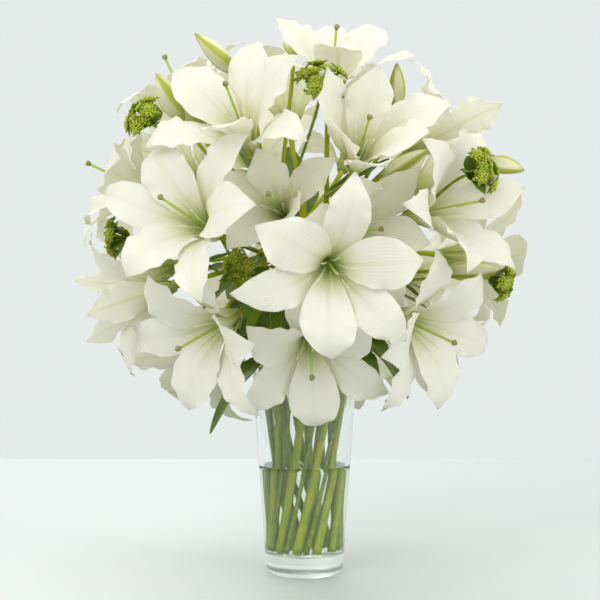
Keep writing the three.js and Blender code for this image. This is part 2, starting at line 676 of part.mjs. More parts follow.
// A head of small flowers: five rays that spread from the end of its stalk, each with a cone-shaped flower
function fillerHead(stem, head) {
  const facing = direction(head.at);
  const base = placed(head).addScaledVector(facing, -head.radius);
  const neck = base.clone().addScaledVector(facing, -STRAIGHT_NECK);
  const thin = HEAD.stalk - 0.1;
  const radii = [HEAD.stalk, thin, thin, HEAD.top];
  const { vertices, faces, top } = tube([...stalk(stem, 1, neck, facing, 2), base], radii, 5);
  const middle = vertices.push(base.clone()) - 1;
  top.forEach((a, k) => {
    const b = top[(k + 1) % top.length];
    const outward = vertices[a].clone().add(vertices[b]).multiplyScalar(0.5).sub(base).normalize();
    const [ray] = turned(facing, outward, HEAD.lean);
    const inward = outward.clone().addScaledVector(ray, -outward.dot(ray)).normalize().negate();
    const at = (share) => base.clone().addScaledVector(ray, share * head.radius * HEAD.ray);
    const stalkTop = ringAt(vertices, at(HEAD.from), ray, inward, HEAD.thin, 3);
    const flower = ringAt(vertices, at(HEAD.to), ray, inward, HEAD.flower, 3);
    const tip = [vertices.push(at(1)) - 1];
    joinRings(faces, [middle, a, b], stalkTop);
    joinRings(faces, stalkTop, flower);
    joinRings(faces, flower, tip);
  });
  return solidOf(surface(vertices, faces));
}

function fillerStem(stem) {
  const parts = [mainStem(stem, FILLER_RADIUS, 5)];
  for (const h of stem.heads) parts.push(fillerHead(stem, HEADS[h]));
  return joined(parts);
}

// The vase: a heavy foot with a rounded corner, straight flaring sides and a soft rim
function lathe(profile, sides) {
  const geometry = new THREE.LatheGeometry(profile.map(([r, z]) => new THREE.Vector2(r, z)), sides);
  return solidOf(geometry.rotateX(Math.PI / 2));
}

function innerRadius(z) {
  const share = (z - VASE.floor) / (VASE.height - VASE.floor);
  const low = VASE.foot - VASE.footWall;
  const high = VASE.rim - VASE.rimWall;
  return low + (high - low) * share;
}

function vase() {
  const { height, rim, foot, corner, floor } = VASE;
  const profile = [[0, 0], [foot - corner, 0], [foot - corner * 0.35, corner * 0.3], [foot, corner * 1.1]];
  profile.push([rim, height - 1.2], [rim - 1, height], [innerRadius(height), height - 0.6]);
  profile.push([innerRadius(floor + FLOOR_BEVEL), floor + FLOOR_BEVEL]);
  profile.push([innerRadius(floor) - FLOOR_BEVEL, floor], [0, floor]);
  return lathe(profile, VASE_SIDES);
}

// The water stands a little off the glass, and every stem passes through it in a plain hole
function water() {
  const low = VASE.floor + SEAT_GAP;
  const narrower = Math.cos(Math.PI / VASE_SIDES);
  const inside = (z) => innerRadius(z) * narrower - SEAT_GAP;
  const corner = VASE.floor + FLOOR_BEVEL + SEAT_GAP;
  const profile = [[0, low], [inside(VASE.floor) - FLOOR_BEVEL, low], [inside(corner), corner]];
  profile.push([inside(WATER_LEVEL), WATER_LEVEL], [0, WATER_LEVEL]);
  const bore = (stem, radius, sides) => {
    const [start, end] = rulingOf(stem);
    const along = end.clone().sub(start).normalize();
    const wide = radius + HOLE_GAP;
    return sweep([start.clone().addScaledVector(along, -9), end], [wide, wide], sides);
  };
  const holes = LILY_STEMS.map((stem) => bore(stem, STEM_RADIUS, 6));
  holes.push(...FILLER_STEMS.map((stem) => bore(stem, FILLER_RADIUS, 5)));
  return lathe(profile, WATER_SIDES).subtract(joined(holes));
}

const OPENINGS = openingsOfAll();

// Finishes
const FINISH = {
  glass: { color: 0xf2f6f5, roughness: 0.03, metalness: 0, transparent: true, opacity: 0.35 },
  water: { color: 0xe9f2ee, roughness: 0.02, metalness: 0, transparent: true, opacity: 0.35 },
  tepal: { color: 0xf8f8f2, roughness: 0.55, metalness: 0 },
  bud: { color: 0xdfe6b4, roughness: 0.5, metalness: 0 },
  stem: { color: 0x7c9a3c, roughness: 0.5, metalness: 0 },
  filler: { color: 0x5f8a2a, roughness: 0.6, metalness: 0 },
};

const bouquet = new THREE.Group();

function add(name, solid, finish) {
  const mesh = new THREE.Mesh(geometryOf(solid), new THREE.MeshStandardMaterial(FINISH[finish]));
  mesh.name = name;
  bouquet.add(mesh);
}

const two = (n) => String(n + 1).padStart(2, "0");
add("vase", vase(), "glass");
add("water", water(), "water");
LILY_STEMS.forEach((stem, i) => add(`lily_stem_${two(i)}`, lilyStem(stem), "stem"));
FILLER_STEMS.forEach((stem, i) => add(`filler_stem_${two(i)}`, fillerStem(stem), "filler"));
BLOOMS.forEach((_, i) => add(`bloom_${two(i)}`, corolla(i), "tepal"));
BUDS.forEach((item, i) => add(`bud_${two(i)}`, bud(item), "bud"));

export default bouquet;
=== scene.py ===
"""White lilies in a tapered clear glass vase, half full of water.

Metres in the scene, millimetres in the formulas. +Z is up, the vase stands on z = 0 about the Z axis, and the
best side faces -Y. An azimuth turns from the front (-Y) towards +X, an elevation rises from the horizon.
"""
import math
from types import SimpleNamespace

import bpy
import numpy as np
from bpy.props import FloatProperty, FloatVectorProperty, IntProperty, PointerProperty
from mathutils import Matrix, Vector


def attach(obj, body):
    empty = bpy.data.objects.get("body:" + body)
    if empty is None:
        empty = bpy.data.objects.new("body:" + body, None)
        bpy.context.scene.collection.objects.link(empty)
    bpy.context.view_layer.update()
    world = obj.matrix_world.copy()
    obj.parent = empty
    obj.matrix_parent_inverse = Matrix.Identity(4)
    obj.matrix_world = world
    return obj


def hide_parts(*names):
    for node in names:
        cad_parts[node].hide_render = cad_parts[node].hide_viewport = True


bl_info = {
    "name": "Lilies in a vase",
    "version": (1, 0, 0),
    "blender": (4, 5, 0),
    "location": "3D View > Sidebar > Lilies",
    "description": "White lilies, buds, filler sprays and leaves in a glass vase with water",
    "category": "Object",
}

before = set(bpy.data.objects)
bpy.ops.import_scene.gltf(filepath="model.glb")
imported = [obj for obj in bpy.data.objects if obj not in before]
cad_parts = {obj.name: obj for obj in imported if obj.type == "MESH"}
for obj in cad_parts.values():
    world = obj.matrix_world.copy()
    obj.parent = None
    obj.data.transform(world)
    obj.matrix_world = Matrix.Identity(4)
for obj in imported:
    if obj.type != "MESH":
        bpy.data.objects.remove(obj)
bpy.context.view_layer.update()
MM = 0.001

# Vase and water. Lengths are in millimetres. The hollow below the foot has shares of its radius, and heights
VASE_HEIGHT = 200
VASE_FLOOR = 19
RIM_WALL = 3.2
FOOT_WALL = 4.2
WALL_TOP = 2.4
BOWL_RADIUS = 5
BOWL_TOP = 6
WET = 0.15
NEAR_AXIS = 0.02
HOLLOW = ((0.02, 1.4), (0.35, 1.25), (0.6, 0.8), (0.72, 0.3), (0.76, 0.0))

# Bouquet: the centre of the ball of blooms
CENTRE = np.array([-6.0, 0.0, 322.0])

# A draw is a sine of its seed, spread so wide that what follows the point looks random
DRAW_STEP = 12.9898
DRAW_SHIFT = 0.6
DRAW_SPREAD = 43758.5453

# Tepals, with angles in degrees. A span says where a change starts and how far it runs, and a draw gives the
# least value and what comes on top of it
CLAW_HALF_WIDTH = 2.4
CLAW_RADIUS = {"inner": 4.2, "outer": 5.4}
CLAW_ANGLE = {"inner": 12, "outer": 22}
OUTER_LONGER = 1.03
LENGTH_DRAW = (0.96, 0.08)
CURL_DRAW = (15, 25)
CURL_OPENINGS = (45, 45)
CURL_SPAN = (0.7, 0.3)
DRIFT = 28
TWIST = 10
CHANNEL = 0.004
CHANNEL_SHIFT = 0.3
CHANNEL_RANGE = 0.01
BLADE_SCALE = 4.06
BLADE_RISE = 1.25
BLADE_FALL = 0.85
GIRTH_SHARE = 0.88
GIRTH_POWER = 4
OPENING_POWER = 1.35
FLATTENING_SPAN = (0.22, 0.4)
POINTED = 0.4
POINTED_SPAN = (0.74, 0.26)
WAVE_HEIGHT = 2.6
WAVE_TURNS = 1.9
WAVE_SHIFT = 0.37
WAVE_FROM = 0.25
WAVE_RISE = 2.5
WAVE_FALL = 4
RUFFLE_TURNS = 5.3
RUFFLE_SHIFTS = (0.21, 0.6)
RUFFLE_SPREAD = 1.5
SWELL_TURNS = 2.7
MIDRIB_STEPS = 40
STATIONS = np.linspace(0, 1, MIDRIB_STEPS + 1)
TEPAL_ROWS = 44
TEPAL_COLUMNS = 19
TIP_CUT = 0.965
MARGIN_SHARE = 0.18
BLADE_SHARE = 0.36
KEEL = 0.8
KEEL_WIDTH = 1.7
GROOVE = 0.45

# How wide the tepals open: the search and what it keeps clear of
LAYER_ORDER = (1, 3, 5, 0, 2, 4)
LEAST_OPEN = 26
OPEN_STEP = 3
MOST_UNEVEN = 6
CLEARANCE = 7
FEEL_REACH = 150
FEEL_ROWS = np.linspace(0.25, 1, 10)[:, None]
FEEL_COLUMNS = np.array([[-1, -0.5, 0, 0.5, 1]])
RIM_CLEAR_RADIUS = 56
RIM_CLEAR_HEIGHT = 206
OBSTACLE_STEP = 8.0
PISTIL_PAST = 5
PISTIL_CONE = 0.18
STALK_REACH = 3
BUD_REACH = 0.8
BOUQUET = {}

# The cup, the pistil and the filaments of a bloom
CUP_HIGH = 1.5
CUP_SIDES = 24
CUP_RADII = np.array([3.0, 4.6, 5.7, 5.9, 5.0, 3.6])
CUP_HEIGHTS = np.array([-2.6, -2.2, -1.0, 0.6, 1.6, 1.4])
PISTIL_FOOT = 2
PISTIL_LENGTH = 76
PISTIL_SWAY = 14
PISTIL_LIFT = 7
SWAY_OPENINGS = (25, 40)
STYLE_RADIUS = 1.2
OVARY_RADIUS = 1.15
OVARY_SPAN = (0.16, 0.1)
KNOB_RADIUS = 1.35
KNOB_SPAN = (0.93, 0.035)
KNOB_MIDDLE = 0.972
KNOB_HALF = 0.031
FILAMENT_LENGTH = 58
FILAMENT_DRAW = (0.93, 0.12)
FILAMENT_SWAY = 14
FILAMENT_RING = 2.6
MOST_SPREAD = 13
FILAMENT_RADIUS = 0.85
FILAMENT_TAPER = 0.4

# Stems and stalks
STEM_RADIUS = 3.9
STEM_FOOT = 3.2
STEM_PAST_RIM = 4
STEM_TAPER = 0.2
JOINT_SPACING = 34
BEND_LEAD = 0.4
BEND_TAIL = 0.3
FILLER_RADIUS = 1.9
PEDICEL_RADIUS = 2.2
RECEPTACLE_RADIUS = 2.95
RECEPTACLE_SPAN = (0.6, 0.4)
BUD_STALK_RADIUS = 1.85
BUD_FOOT_SHARE = 0.28
STRAIGHT_NECK = 3
STALK_AHEAD = 30
STALK_LEAD = 0.35
FORK_SPREAD = 0.5
FORK_PLACES = 3

# Leaves
LEAF_COLUMNS = 9
LEAF_CHANNEL = 0.25
TOOTH_DEPTH = 0.2
LEAF_WAVE = 0.09
SLENDER_LENGTHS = (82, 68, 54, 42)
SLENDER_WIDTH = 0.15
SLENDER_DROOP = 0.12
SLENDER_CLEAR = 8.0
SLENDER_REACH = 150

# Buds
BUD_RIB = 0.075
BUD_GROOVE = 0.05
GROOVE_WIDTH = 0.01

# Filler heads, with angles in radians. The short rays stand between and inside the long ones
HEAD_RAYS = 5
RAY_LEAN = 0.75
RAY_LENGTH = 1.5
SHORT_RAY_TURN = 0.63
SHORT_RAY_LEAN = (0.28, 0.3)
SHORT_RAY_LENGTH = (0.95, 0.4)
HEAD_STALK = 1.35
HEAD_STALK_TOP = 1.7
RAY_RADII = np.array([0.9, 0.75, 0.7, 0.75, 1.3])
STAR_SHARE = 0.82
BRACTS = 7
BRACT_LEAN = (0.35, 0.4)
BRACT_LENGTH = (8.2, 2.4)
BRACT_WIDTH = 2.9
BRACT_CUP = 0.6
BRACT_HALF = 0.3
SMALL_LEAF_RISE = (0.7, 0.5)
SMALL_LEAF_LENGTH = (1.1, 0.35)
SMALL_LEAF_WIDTH = 0.33
SMALL_LEAF_DROOP = 0.15
SMALL_LEAF_FOLD = 0.3
FLORETS = 21
FLORET_CAP = 5.4
FLORET_RADIUS = (1.1, 0.5)
GOLDEN_TURN = 2.4

# Materials: a MapRange that eases in and out, and the fine lines across a tepal and round a bud
SOFT = {"interpolation_type": "SMOOTHSTEP"}
TEPAL_VEINS = 15
BUD_LINES = 36

# Each bloom: azimuth, elevation and distance of its throat from the centre, azimuth and elevation that it
# faces, the turn of its first broad tepal, how wide it opens, and its size
BLOOMS = (
    (11, -12, 138, 5, -14, 258, 104, 1.04),
    (-34, -1, 132, -30, 16, 115, 102, 1.04),
    (54, -35, 130, 46, -20, 300, 100, 1.02),
    (52, 6, 124, 54, 8, 12, 100, 1.04),
    (25, 24, 128, 8, 28, 88, 96, 1.05),
    (8, -52, 112, 4, -32, 274, 98, 1.0),
    (-33, -37, 124, -44, -24, 245, 98, 1.03),
    (-23, 33, 124, -18, 38, 32, 94, 1.05),
    (66, 34, 132, 80, 36, 94, 98, 1.0),
    (-70, -22, 132, -70, -16, 64, 98, 1.0),
    (-76, 14, 132, -78, 24, 114, 100, 1.0),
    (-80, 46, 134, -76, 62, 8, 94, 0.98),
    (26, 60, 128, 10, 62, 30, 90, 1.0),
    (-170, 68, 112, -170, 68, 60, 88, 0.98),
    (88, -8, 136, 100, -8, 59, 92, 0.98),
    (118, 22, 130, 118, 20, 8, 98, 1.0),
    (108, -38, 128, 108, -46, 83, 98, 1.0),
    (132, -12, 142, 134, -10, 92, 100, 1.0),
    (160, -42, 130, 158, -32, 68, 98, 1.0),
    (172, 2, 132, 172, 4, 90, 102, 1.04),
    (150, 38, 114, 150, 48, 54, 98, 1.0),
    (-160, -32, 122, -160, -14, 52, 98, 1.0),
    (-112, -12, 132, -112, -10, 104, 100, 1.0),
    (-118, 28, 122, -128, 28, 74, 98, 1.0),
    (-158, 32, 142, -166, 30, 100, 98, 1.02),
    (-118, -44, 132, -118, -52, 85, 94, 1.0),
    (31, -2, 64, 30, 1, 111, 72, 1.0),
    (-9, 10, 84, -9, 9, 99, 84, 0.82),
)

# Each bud: azimuth, elevation and distance of its base, azimuth and elevation that it points, length, radius
BUDS = (
    (-54, 38, 163, -54, 55, 47, 10.5),
    (-4, 68, 172, -178, 52, 50, 8.5),
    (58, 47, 155, -3, 50, 47, 7.5),
    (56, 29, 104, 53, 23, 58, 7.5),
    (76, -14, 146, 78, 0, 54, 9.5),
    (87, 21, 194, 51, -16, 40, 8.5),
    (-140, 2, 122, -138, 6, 62, 8.5),
    (-38, 58, 168, -53, 34, 55, 8.5),
)

# Each filler head: azimuth, elevation and distance of its middle, and its radius
HEADS = (
    (-50, 29, 205, 16),
    (-86, -1, 177, 16),
    (8, 40, 196, 19),
    (-27, -17, 121, 12),
    (20, -17, 146, 13),
    (56, 15, 205, 18),
    (71, -13, 205, 14),
    (148, 12, 156, 18),
    (-138, 12, 156, 17),
)

# Each lily stem: where it crosses the rim, its ring in the vase, its fork, its blooms and its buds
LILY_STEMS = (
    (6, "outer", (10, -22, 62), (0, 5, 27), ()),
    (46, "outer", (50, -20, 64), (3, 2, 26), ()),
    (86, "outer", (84, -18, 66), (14,), (4, 5)),
    (126, "outer", (124, -16, 62), (15, 17, 16), ()),
    (166, "outer", (166, -20, 62), (19, 18), ()),
    (-154, "outer", (-158, -12, 60), (24, 21), ()),
    (-114, "outer", (-116, -18, 62), (22, 25), (6,)),
    (-74, "outer", (-76, -14, 62), (10, 9), ()),
    (-34, "outer", (-34, -18, 62), (1, 6), ()),
    (60, "inner", (46, 44, 50), (4, 12, 8), (2, 3)),
    (180, "inner", (172, 50, 52), (13, 20), ()),
    (-60, "inner", (-50, 48, 50), (7, 11, 23), (0, 1, 7)),
)

# Each filler stem: where it crosses the rim, its fork and its heads
FILLER_STEMS = (
    (-14, (-26, 10, 44), (2, 3)),
    (26, (24, -30, 70), (4,)),
    (66, (66, -38, 78), (5, 6)),
    (146, (144, -38, 74), (7,)),
    (-134, (-138, -34, 70), (8,)),
    (-54, (-56, -38, 76), (0, 1)),
)

# Each toothed leaf: its stem, its share of the bend, the way it heads, its rise, droop, length and half width
LEAVES = (
    (8, 0.06, -60, -6, 64, 72, 17),
    (1, 0.24, 58, 4, 64, 70, 18),
    (1, 0.14, 30, -2, 26, 66, 13),
    (3, 0.2, 134, 4, 32, 74, 17),
    (5, 0.2, -140, 4, 32, 76, 17),
    (7, 0.2, -78, 4, 30, 76, 16),
    (4, 0.2, 186, 4, 32, 74, 16),
)

# Each ring of stems: its radius at the floor and at the rim, and how far a stem winds between them in degrees
RINGS = {"outer": (24, 42.3, 62), "inner": (10, 26, 60), "filler": (25.5, 44, 62)}


def linear(hex_colour):
    """The linear RGBA colour of an sRGB hex value."""
    parts = [int(hex_colour[i : i + 2], 16) / 255 for i in (1, 3, 5)]
    return [p / 12.92 if p <= 0.04045 else ((p + 0.055) / 1.055) ** 2.4 for p in parts] + [1.0]


def colour_property(name, description, hex_colour):
    """A colour setting with a default."""
    return FloatVectorProperty(
        name=name, description=description, default=linear(hex_colour), size=4, subtype="COLOR", min=0, max=1
    )


def length_property(name, description, millimetres):
    """A length setting with a default in millimetres."""
    default = millimetres * MM
    return FloatProperty(name=name, description=description, default=default, unit="LENGTH", precision=4)


class VaseSettings(bpy.types.PropertyGroup):
    """Sizes and colours of the vase and its water"""

    height: length_property("Height", "Height of the vase", VASE_HEIGHT)
    rim: length_property("Rim radius", "Outer radius at the rim", 50.5)
    foot: length_property("Foot radius", "Outer radius at the foot", 37)
    corner: length_property("Foot corner", "Radius of the foot's rounded corner", 7)
    floor: length_property("Floor", "Thickness of the heavy glass foot", VASE_FLOOR)
    water: length_property("Water level", "Height of the water's surface", 103)
    glass_colour: colour_property("Glass", "Tint of the glass", "#f9fcfb")
    water_colour: colour_property("Water", "Tint of the water", "#f7faec")


class FlowerSettings(bpy.types.PropertyGroup):
    """Sizes and colours of the blooms and buds"""

    tepal_length: length_property("Tepal length", "Length of a broad tepal in a bloom of size 1", 101)
    inner_half_width: length_property("Broad half width", "Half the width of a broad tepal", 24)
    outer_half_width: length_property("Narrow half width", "Half the width of a narrow tepal", 17.5)
    blade: length_property("Thickness", "Thickness of a tepal beside its midrib", 0.8)
    ruffle: length_property("Ruffle", "Height of the small waves on the margins", 2.6)
    white: colour_property("White", "Colour of the open tepals", "#f3f3f0")
    cream: colour_property("Cream", "Shade towards the throat", "#ecedcf")
    glow: colour_property("Glow", "Light that comes through a tepal", "#f8f7e6")
    throat: colour_property("Throat", "Green at the bottom of the throat", "#a5ba3c")
    midrib: colour_property("Midrib", "Green of the midrib's lower part", "#c3cf70")
    pistil: colour_property("Pistil", "Green of the pistil", "#a4bd4a")
    stigma: colour_property("Stigma", "Olive knob of the pistil", "#7c7a34")
    filament: colour_property("Filament", "Pale green of the filaments", "#cfdc94")
    bud_green: colour_property("Bud ribs", "Yellow green of a bud's ribs and base", "#b3bb3e")
    bud_pale: colour_property("Bud", "Pale tissue between a bud's ribs", "#e4e5b4")


class GreenSettings(bpy.types.PropertyGroup):
    """Sizes and colours of the stems, leaves and filler"""

    leaf_teeth: IntProperty(
        name="Teeth", description="Teeth on each side of a broad leaf", default=9, min=3, max=20
    )
    leaf_thickness: length_property("Leaf thickness", "Thickness of a leaf", 0.6)
    stem: colour_property("Stem", "Yellow green of the lily stems", "#a2b204")
    stem_dark: colour_property("Stem streaks", "Darker streaks along the stems", "#788a04")
    stem_pale: colour_property("Stem patches", "Yellower patches of the stems", "#b8b31c")
    leaf: colour_property("Leaf", "Dark green of a leaf's upper side", "#587616")
    leaf_back: colour_property("Leaf back", "Dull green of a leaf's underside", "#82963f")
    vein: colour_property("Leaf veins", "Pale green of a leaf's veins", "#b4c070")
    filler: colour_property("Filler", "Green of the filler's bracts", "#90a91d")
    floret: colour_property("Florets", "Yellow green of the tiny florets", "#c2c744")


class StageSettings(bpy.types.PropertyGroup):
    """The camera, the floor and the light"""

    distance: FloatProperty(name="Distance", description="Camera to vase axis", default=1.25, unit="LENGTH")
    side: length_property("Side", "How far the camera stands to the side of the axis", -4.3)
    eye: length_property("Eye height", "Height of the camera", 260)
    lens: FloatProperty(
        name="Focal length", description="Focal length on a 36 mm sensor", default=78.45, unit="CAMERA"
    )
    table_back: length_property("Table's back edge", "Distance from the axis to the table's back edge", 890)
    table: colour_property("Table", "Pale colour of the table", "#c8cdce")
    table_shade: colour_property("Table clouds", "Faint darker clouds in the table", "#bcc2c4")
    backdrop: colour_property("Backdrop", "Pale grey of the backdrop", "#e6ebe9")
    ambient: colour_property("Ambient", "Soft light from all around", "#fffef9")
    light: FloatProperty(name="Light", description="Strength of the lamps", default=1.0, min=0)


# Directions, smooth steps and draws


def direction(azimuth, elevation):
    """The unit vector at an azimuth and an elevation in degrees."""
    a = math.radians(azimuth)
    e = math.radians(elevation)
    return np.array([math.sin(a) * math.cos(e), -math.cos(a) * math.cos(e), math.sin(e)])


def placed(azimuth, elevation, out):
    """The point that far out from the bouquet's centre in that direction."""
    return CENTRE + out * direction(azimuth, elevation)


def smooth(x, start=0, span=1):
    """0 up to the start, 1 from the end of the span that follows it, and an even S between."""
    c = np.clip((x - start) / span, 0, 1)
    return c * c * (3 - 2 * c)


def draw(seed, least=0.0, more=1.0):
    """A number that only depends on the seed: the least value and some share of more on top of it."""
    x = math.sin(seed * DRAW_STEP + DRAW_SHIFT) * DRAW_SPREAD
    return least + more * (x - math.floor(x))


def unit(vectors):
    """The same vectors at length 1."""
    return vectors / np.maximum(np.linalg.norm(vectors, axis=-1, keepdims=True), 1e-12)


def around(first, second, angle):
    """The direction at an angle from the first of two directions towards the second."""
    return first * np.cos(angle) + second * np.sin(angle)


def across_of(facing):
    """The two directions across a facing direction, right and up seen from its front."""
    right = unit(np.cross([0, 0, 1], facing))
    return right, np.cross(facing, right)


# Surfaces


class Surface:
    """Points, faces, surface coordinates and a mark for each point, gathered from several closed grids."""

    def __init__(self):
        self.points = []
        self.faces = []
        self.coordinates = []
        self.marks = []
        self.count = 0

    def add(self, points, u=None, v=None, mark=0.0, ring=False):
        """Adds a closed form. Its rows are rings of points, joined to the next row. The first and last ring
        are closed by a fan to their middle, or joined to each other where ring is true. u runs round a ring
        and has one value more than it has points, v runs along the rows, and mark is a value for each
        column. Where the signed volume under the faces comes out negative, all of them are turned over."""
        rows, columns = points.shape[:2]
        u = np.linspace(0, 1, columns + 1) if u is None else u
        v = np.linspace(0, 1, rows) if v is None else v
        index = self.count + np.arange(rows * columns).reshape(rows, columns)
        index = np.hstack([index, index[:, :1]])
        grid = np.stack(np.meshgrid(u, v), -1)
        poles = []
        fans = []
        if ring:
            index = np.vstack([index, index[:1]])
            beyond = grid[-1:] + [0, v[-1] - v[-2]]
            grid = np.vstack([grid, beyond])
        else:
            for row, step in ((0, -1), (rows - 1, 1)):
                pole = np.full((columns, 1), self.count + rows * columns + len(poles))
                poles.append(points[row].mean(0)[None])
                ends = np.stack([index[row, :-1], index[row, 1:]], 1)[:, ::step]
                sides = np.stack([grid[row, :-1], grid[row, 1:]], 1)[:, ::step]
                middle = sides.mean(1, keepdims=True)
                fans.append((np.hstack([ends, pole]), np.concatenate([sides, middle], 1)))
        quads, corners = (
            np.stack([a[:-1, :-1], a[:-1, 1:], a[1:, 1:], a[1:, :-1]], 2) for a in (index, grid)
        )
        parts = [(quads.reshape(-1, 4), corners.reshape(-1, 4, 2)), *fans]
        placed_points = np.concatenate([points.reshape(-1, 3), *poles])
        volume = 0.0
        for faces, _ in parts:
            at = placed_points[faces - self.count]
            for k in range(2, faces.shape[1]):
                volume += np.einsum("ij,ij->", at[:, 0], np.cross(at[:, k - 1], at[:, k]))
        outward = 1 if volume >= 0 else -1
        for faces, corners in parts:
            self.faces += faces[:, ::outward].tolist()
            self.coordinates.append(corners[:, ::outward].reshape(-1, 2))
        marks = np.broadcast_to(np.asarray(mark, float), (rows, columns)).reshape(-1)
        self.points.append(placed_points)
        self.marks += [marks, np.full(len(poles), marks.mean())]
        self.count += rows * columns + len(poles)


def put_in_scene(name, data):
    """Makes an object of a mesh, a lamp or a camera and puts it into the scene."""
    made = bpy.data.objects.new(name, data)
    bpy.context.scene.collection.objects.link(made)
    return made


def make_piece(name, surface, material, nodes=()):
    """Puts a surface into a mesh object that rides on the frame and stands for the given nodes."""
    mesh = bpy.data.meshes.new(name)
    mesh.from_pydata(np.concatenate(surface.points) * MM, [], surface.faces)
    layer = mesh.uv_layers.new(name="UVMap")
    layer.data.foreach_set("uv", np.concatenate(surface.coordinates).astype(np.float32).ravel())
    marks = mesh.attributes.new("mark", "FLOAT", "POINT")
    marks.data.foreach_set("value", np.concatenate(surface.marks).astype(np.float32))
    mesh.materials.append(material)
    mesh.shade_smooth()
    mesh.validate()
    made = put_in_scene(name, mesh)
    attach(made, "root")
    if nodes:
        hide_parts(*nodes)


def tube(points, radii, sides=10, lobes=0.0, lobe_count=3):
    """Rings round a path: at each point a circle square to the path, with the radius given there. Lobes raise
    its radius by that share in that many places round it."""
    tangent = unit(np.gradient(points, axis=0))
    reference = np.eye(3)[np.argmin(np.abs(tangent).max(0))]
    side = unit(reference - tangent * (tangent @ reference)[:, None])
    other = np.cross(tangent, side)
    angle = 2 * np.pi * np.arange(sides) / sides
    reach = np.asarray(radii)[:, None] * (1 + np.asarray(lobes)[..., None] * np.cos(lobe_count * angle))
    return points[:, None] + around(side[:, None], other[:, None], angle[:, None]) * reach[..., None]


def bezier(controls, t):
    """Points of the cubic curve with four control points, at the shares t."""
    t = np.asarray(t, float)[:, None]
    a, b, c, d = controls
    return (1 - t) ** 3 * a + 3 * (1 - t) ** 2 * t * b + 3 * (1 - t) * t**2 * c + t**3 * d


def lathe(profile, sides):
    """A profile of radius and height, turned about the vertical axis. Its ends lie on or near the axis."""
    angle = 2 * np.pi * np.arange(sides) / sides
    radius, height = np.asarray(profile, float).T
    out = around(np.array([1.0, 0, 0]), np.array([0, 1.0, 0]), angle[:, None])
    surface = Surface()
    surface.add(out * radius[:, None, None] + np.array([0, 0, 1.0]) * height[:, None, None])
    return surface


def add_shell(surface, upper, lower, across, along, back=1.0):
    """Adds a thin closed shell. Each ring runs over the upper side and back below, where the mark is back."""
    u = (across[0] + 1) / 2
    rings = np.concatenate([upper, lower[:, ::-1]], axis=1)
    surface.add(rings, np.concatenate([u, u[::-1], u[:1]]), along[:, 0], np.repeat([0.0, back], len(u)))


def normals_of(grid):
    """The normal at each point of a grid of points."""
    return unit(np.cross(np.gradient(grid, axis=0), np.gradient(grid, axis=1)))


# Blooms


def bloom_frames():
    """Each bloom with its throat, its facing, and the two directions across it."""
    found = []
    for azimuth, elevation, out, face_azimuth, face_elevation, roll, widest, size in BLOOMS:
        facing = direction(face_azimuth, face_elevation)
        right, up = across_of(facing)
        throat = placed(azimuth, elevation, out)
        found.append(
            SimpleNamespace(
                throat=throat, facing=facing, right=right, up=up, roll=roll, widest=widest, size=size
            )
        )
    return found


def tepal_traits(i, k, bloom, sizes):
    """A tepal's turn, and its own drift, size, curl, channel, twist and wave. Even tepals are the broad inner
    ones."""
    seed = i * 31 + k * 5
    inner = k % 2 == 0
    length = sizes.length * bloom.size * (1 if inner else OUTER_LONGER)
    return SimpleNamespace(
        layer="inner" if inner else "outer",
        turn=math.radians(bloom.roll + k * 60),
        drift=math.radians((draw(seed) - 0.5) * DRIFT),
        length=length * draw(seed + 1, *LENGTH_DRAW),
        half_width=(sizes.inner if inner else sizes.outer) * bloom.size,
        curl=draw(seed + 2, *CURL_DRAW),
        channel=(draw(seed + 3) - CHANNEL_SHIFT) * CHANNEL_RANGE,
        twist=math.radians((draw(seed + 4) - 0.5) * TWIST),
        wave=draw(seed + 5),
    )


def midrib_of(traits, opening):
    """The midrib as distances from the bloom's axis and along it. Its slope grows from the claw to the tip,
    and short steps along the slope are added up."""
    curl = traits.curl * smooth(opening, *CURL_OPENINGS)
    claw = CLAW_ANGLE[traits.layer]
    bent = claw + (opening - claw) * STATIONS**OPENING_POWER + curl * smooth(STATIONS, *CURL_SPAN)
    slope = np.radians(bent)
    middle = (slope[:-1] + slope[1:]) / 2
    step = traits.length / MIDRIB_STEPS
    out = np.concatenate([[0], np.cumsum(step * np.sin(middle))]) + CLAW_RADIUS[traits.layer]
    along = np.concatenate([[0], np.cumsum(step * np.cos(middle))])
    return SimpleNamespace(out=out, along=along, slope=slope)


def half_width_at(traits, t, distance):
    """Half the width of a tepal at the share t of its length. Near the claw the bloom's girth limits it."""
    blade = BLADE_SCALE * t**BLADE_RISE * (1 - t) ** BLADE_FALL
    full = CLAW_HALF_WIDTH * (1 - t) + traits.half_width * blade
    return full / (1 + (full / (GIRTH_SHARE * distance)) ** GIRTH_POWER) ** (1 / GIRTH_POWER)


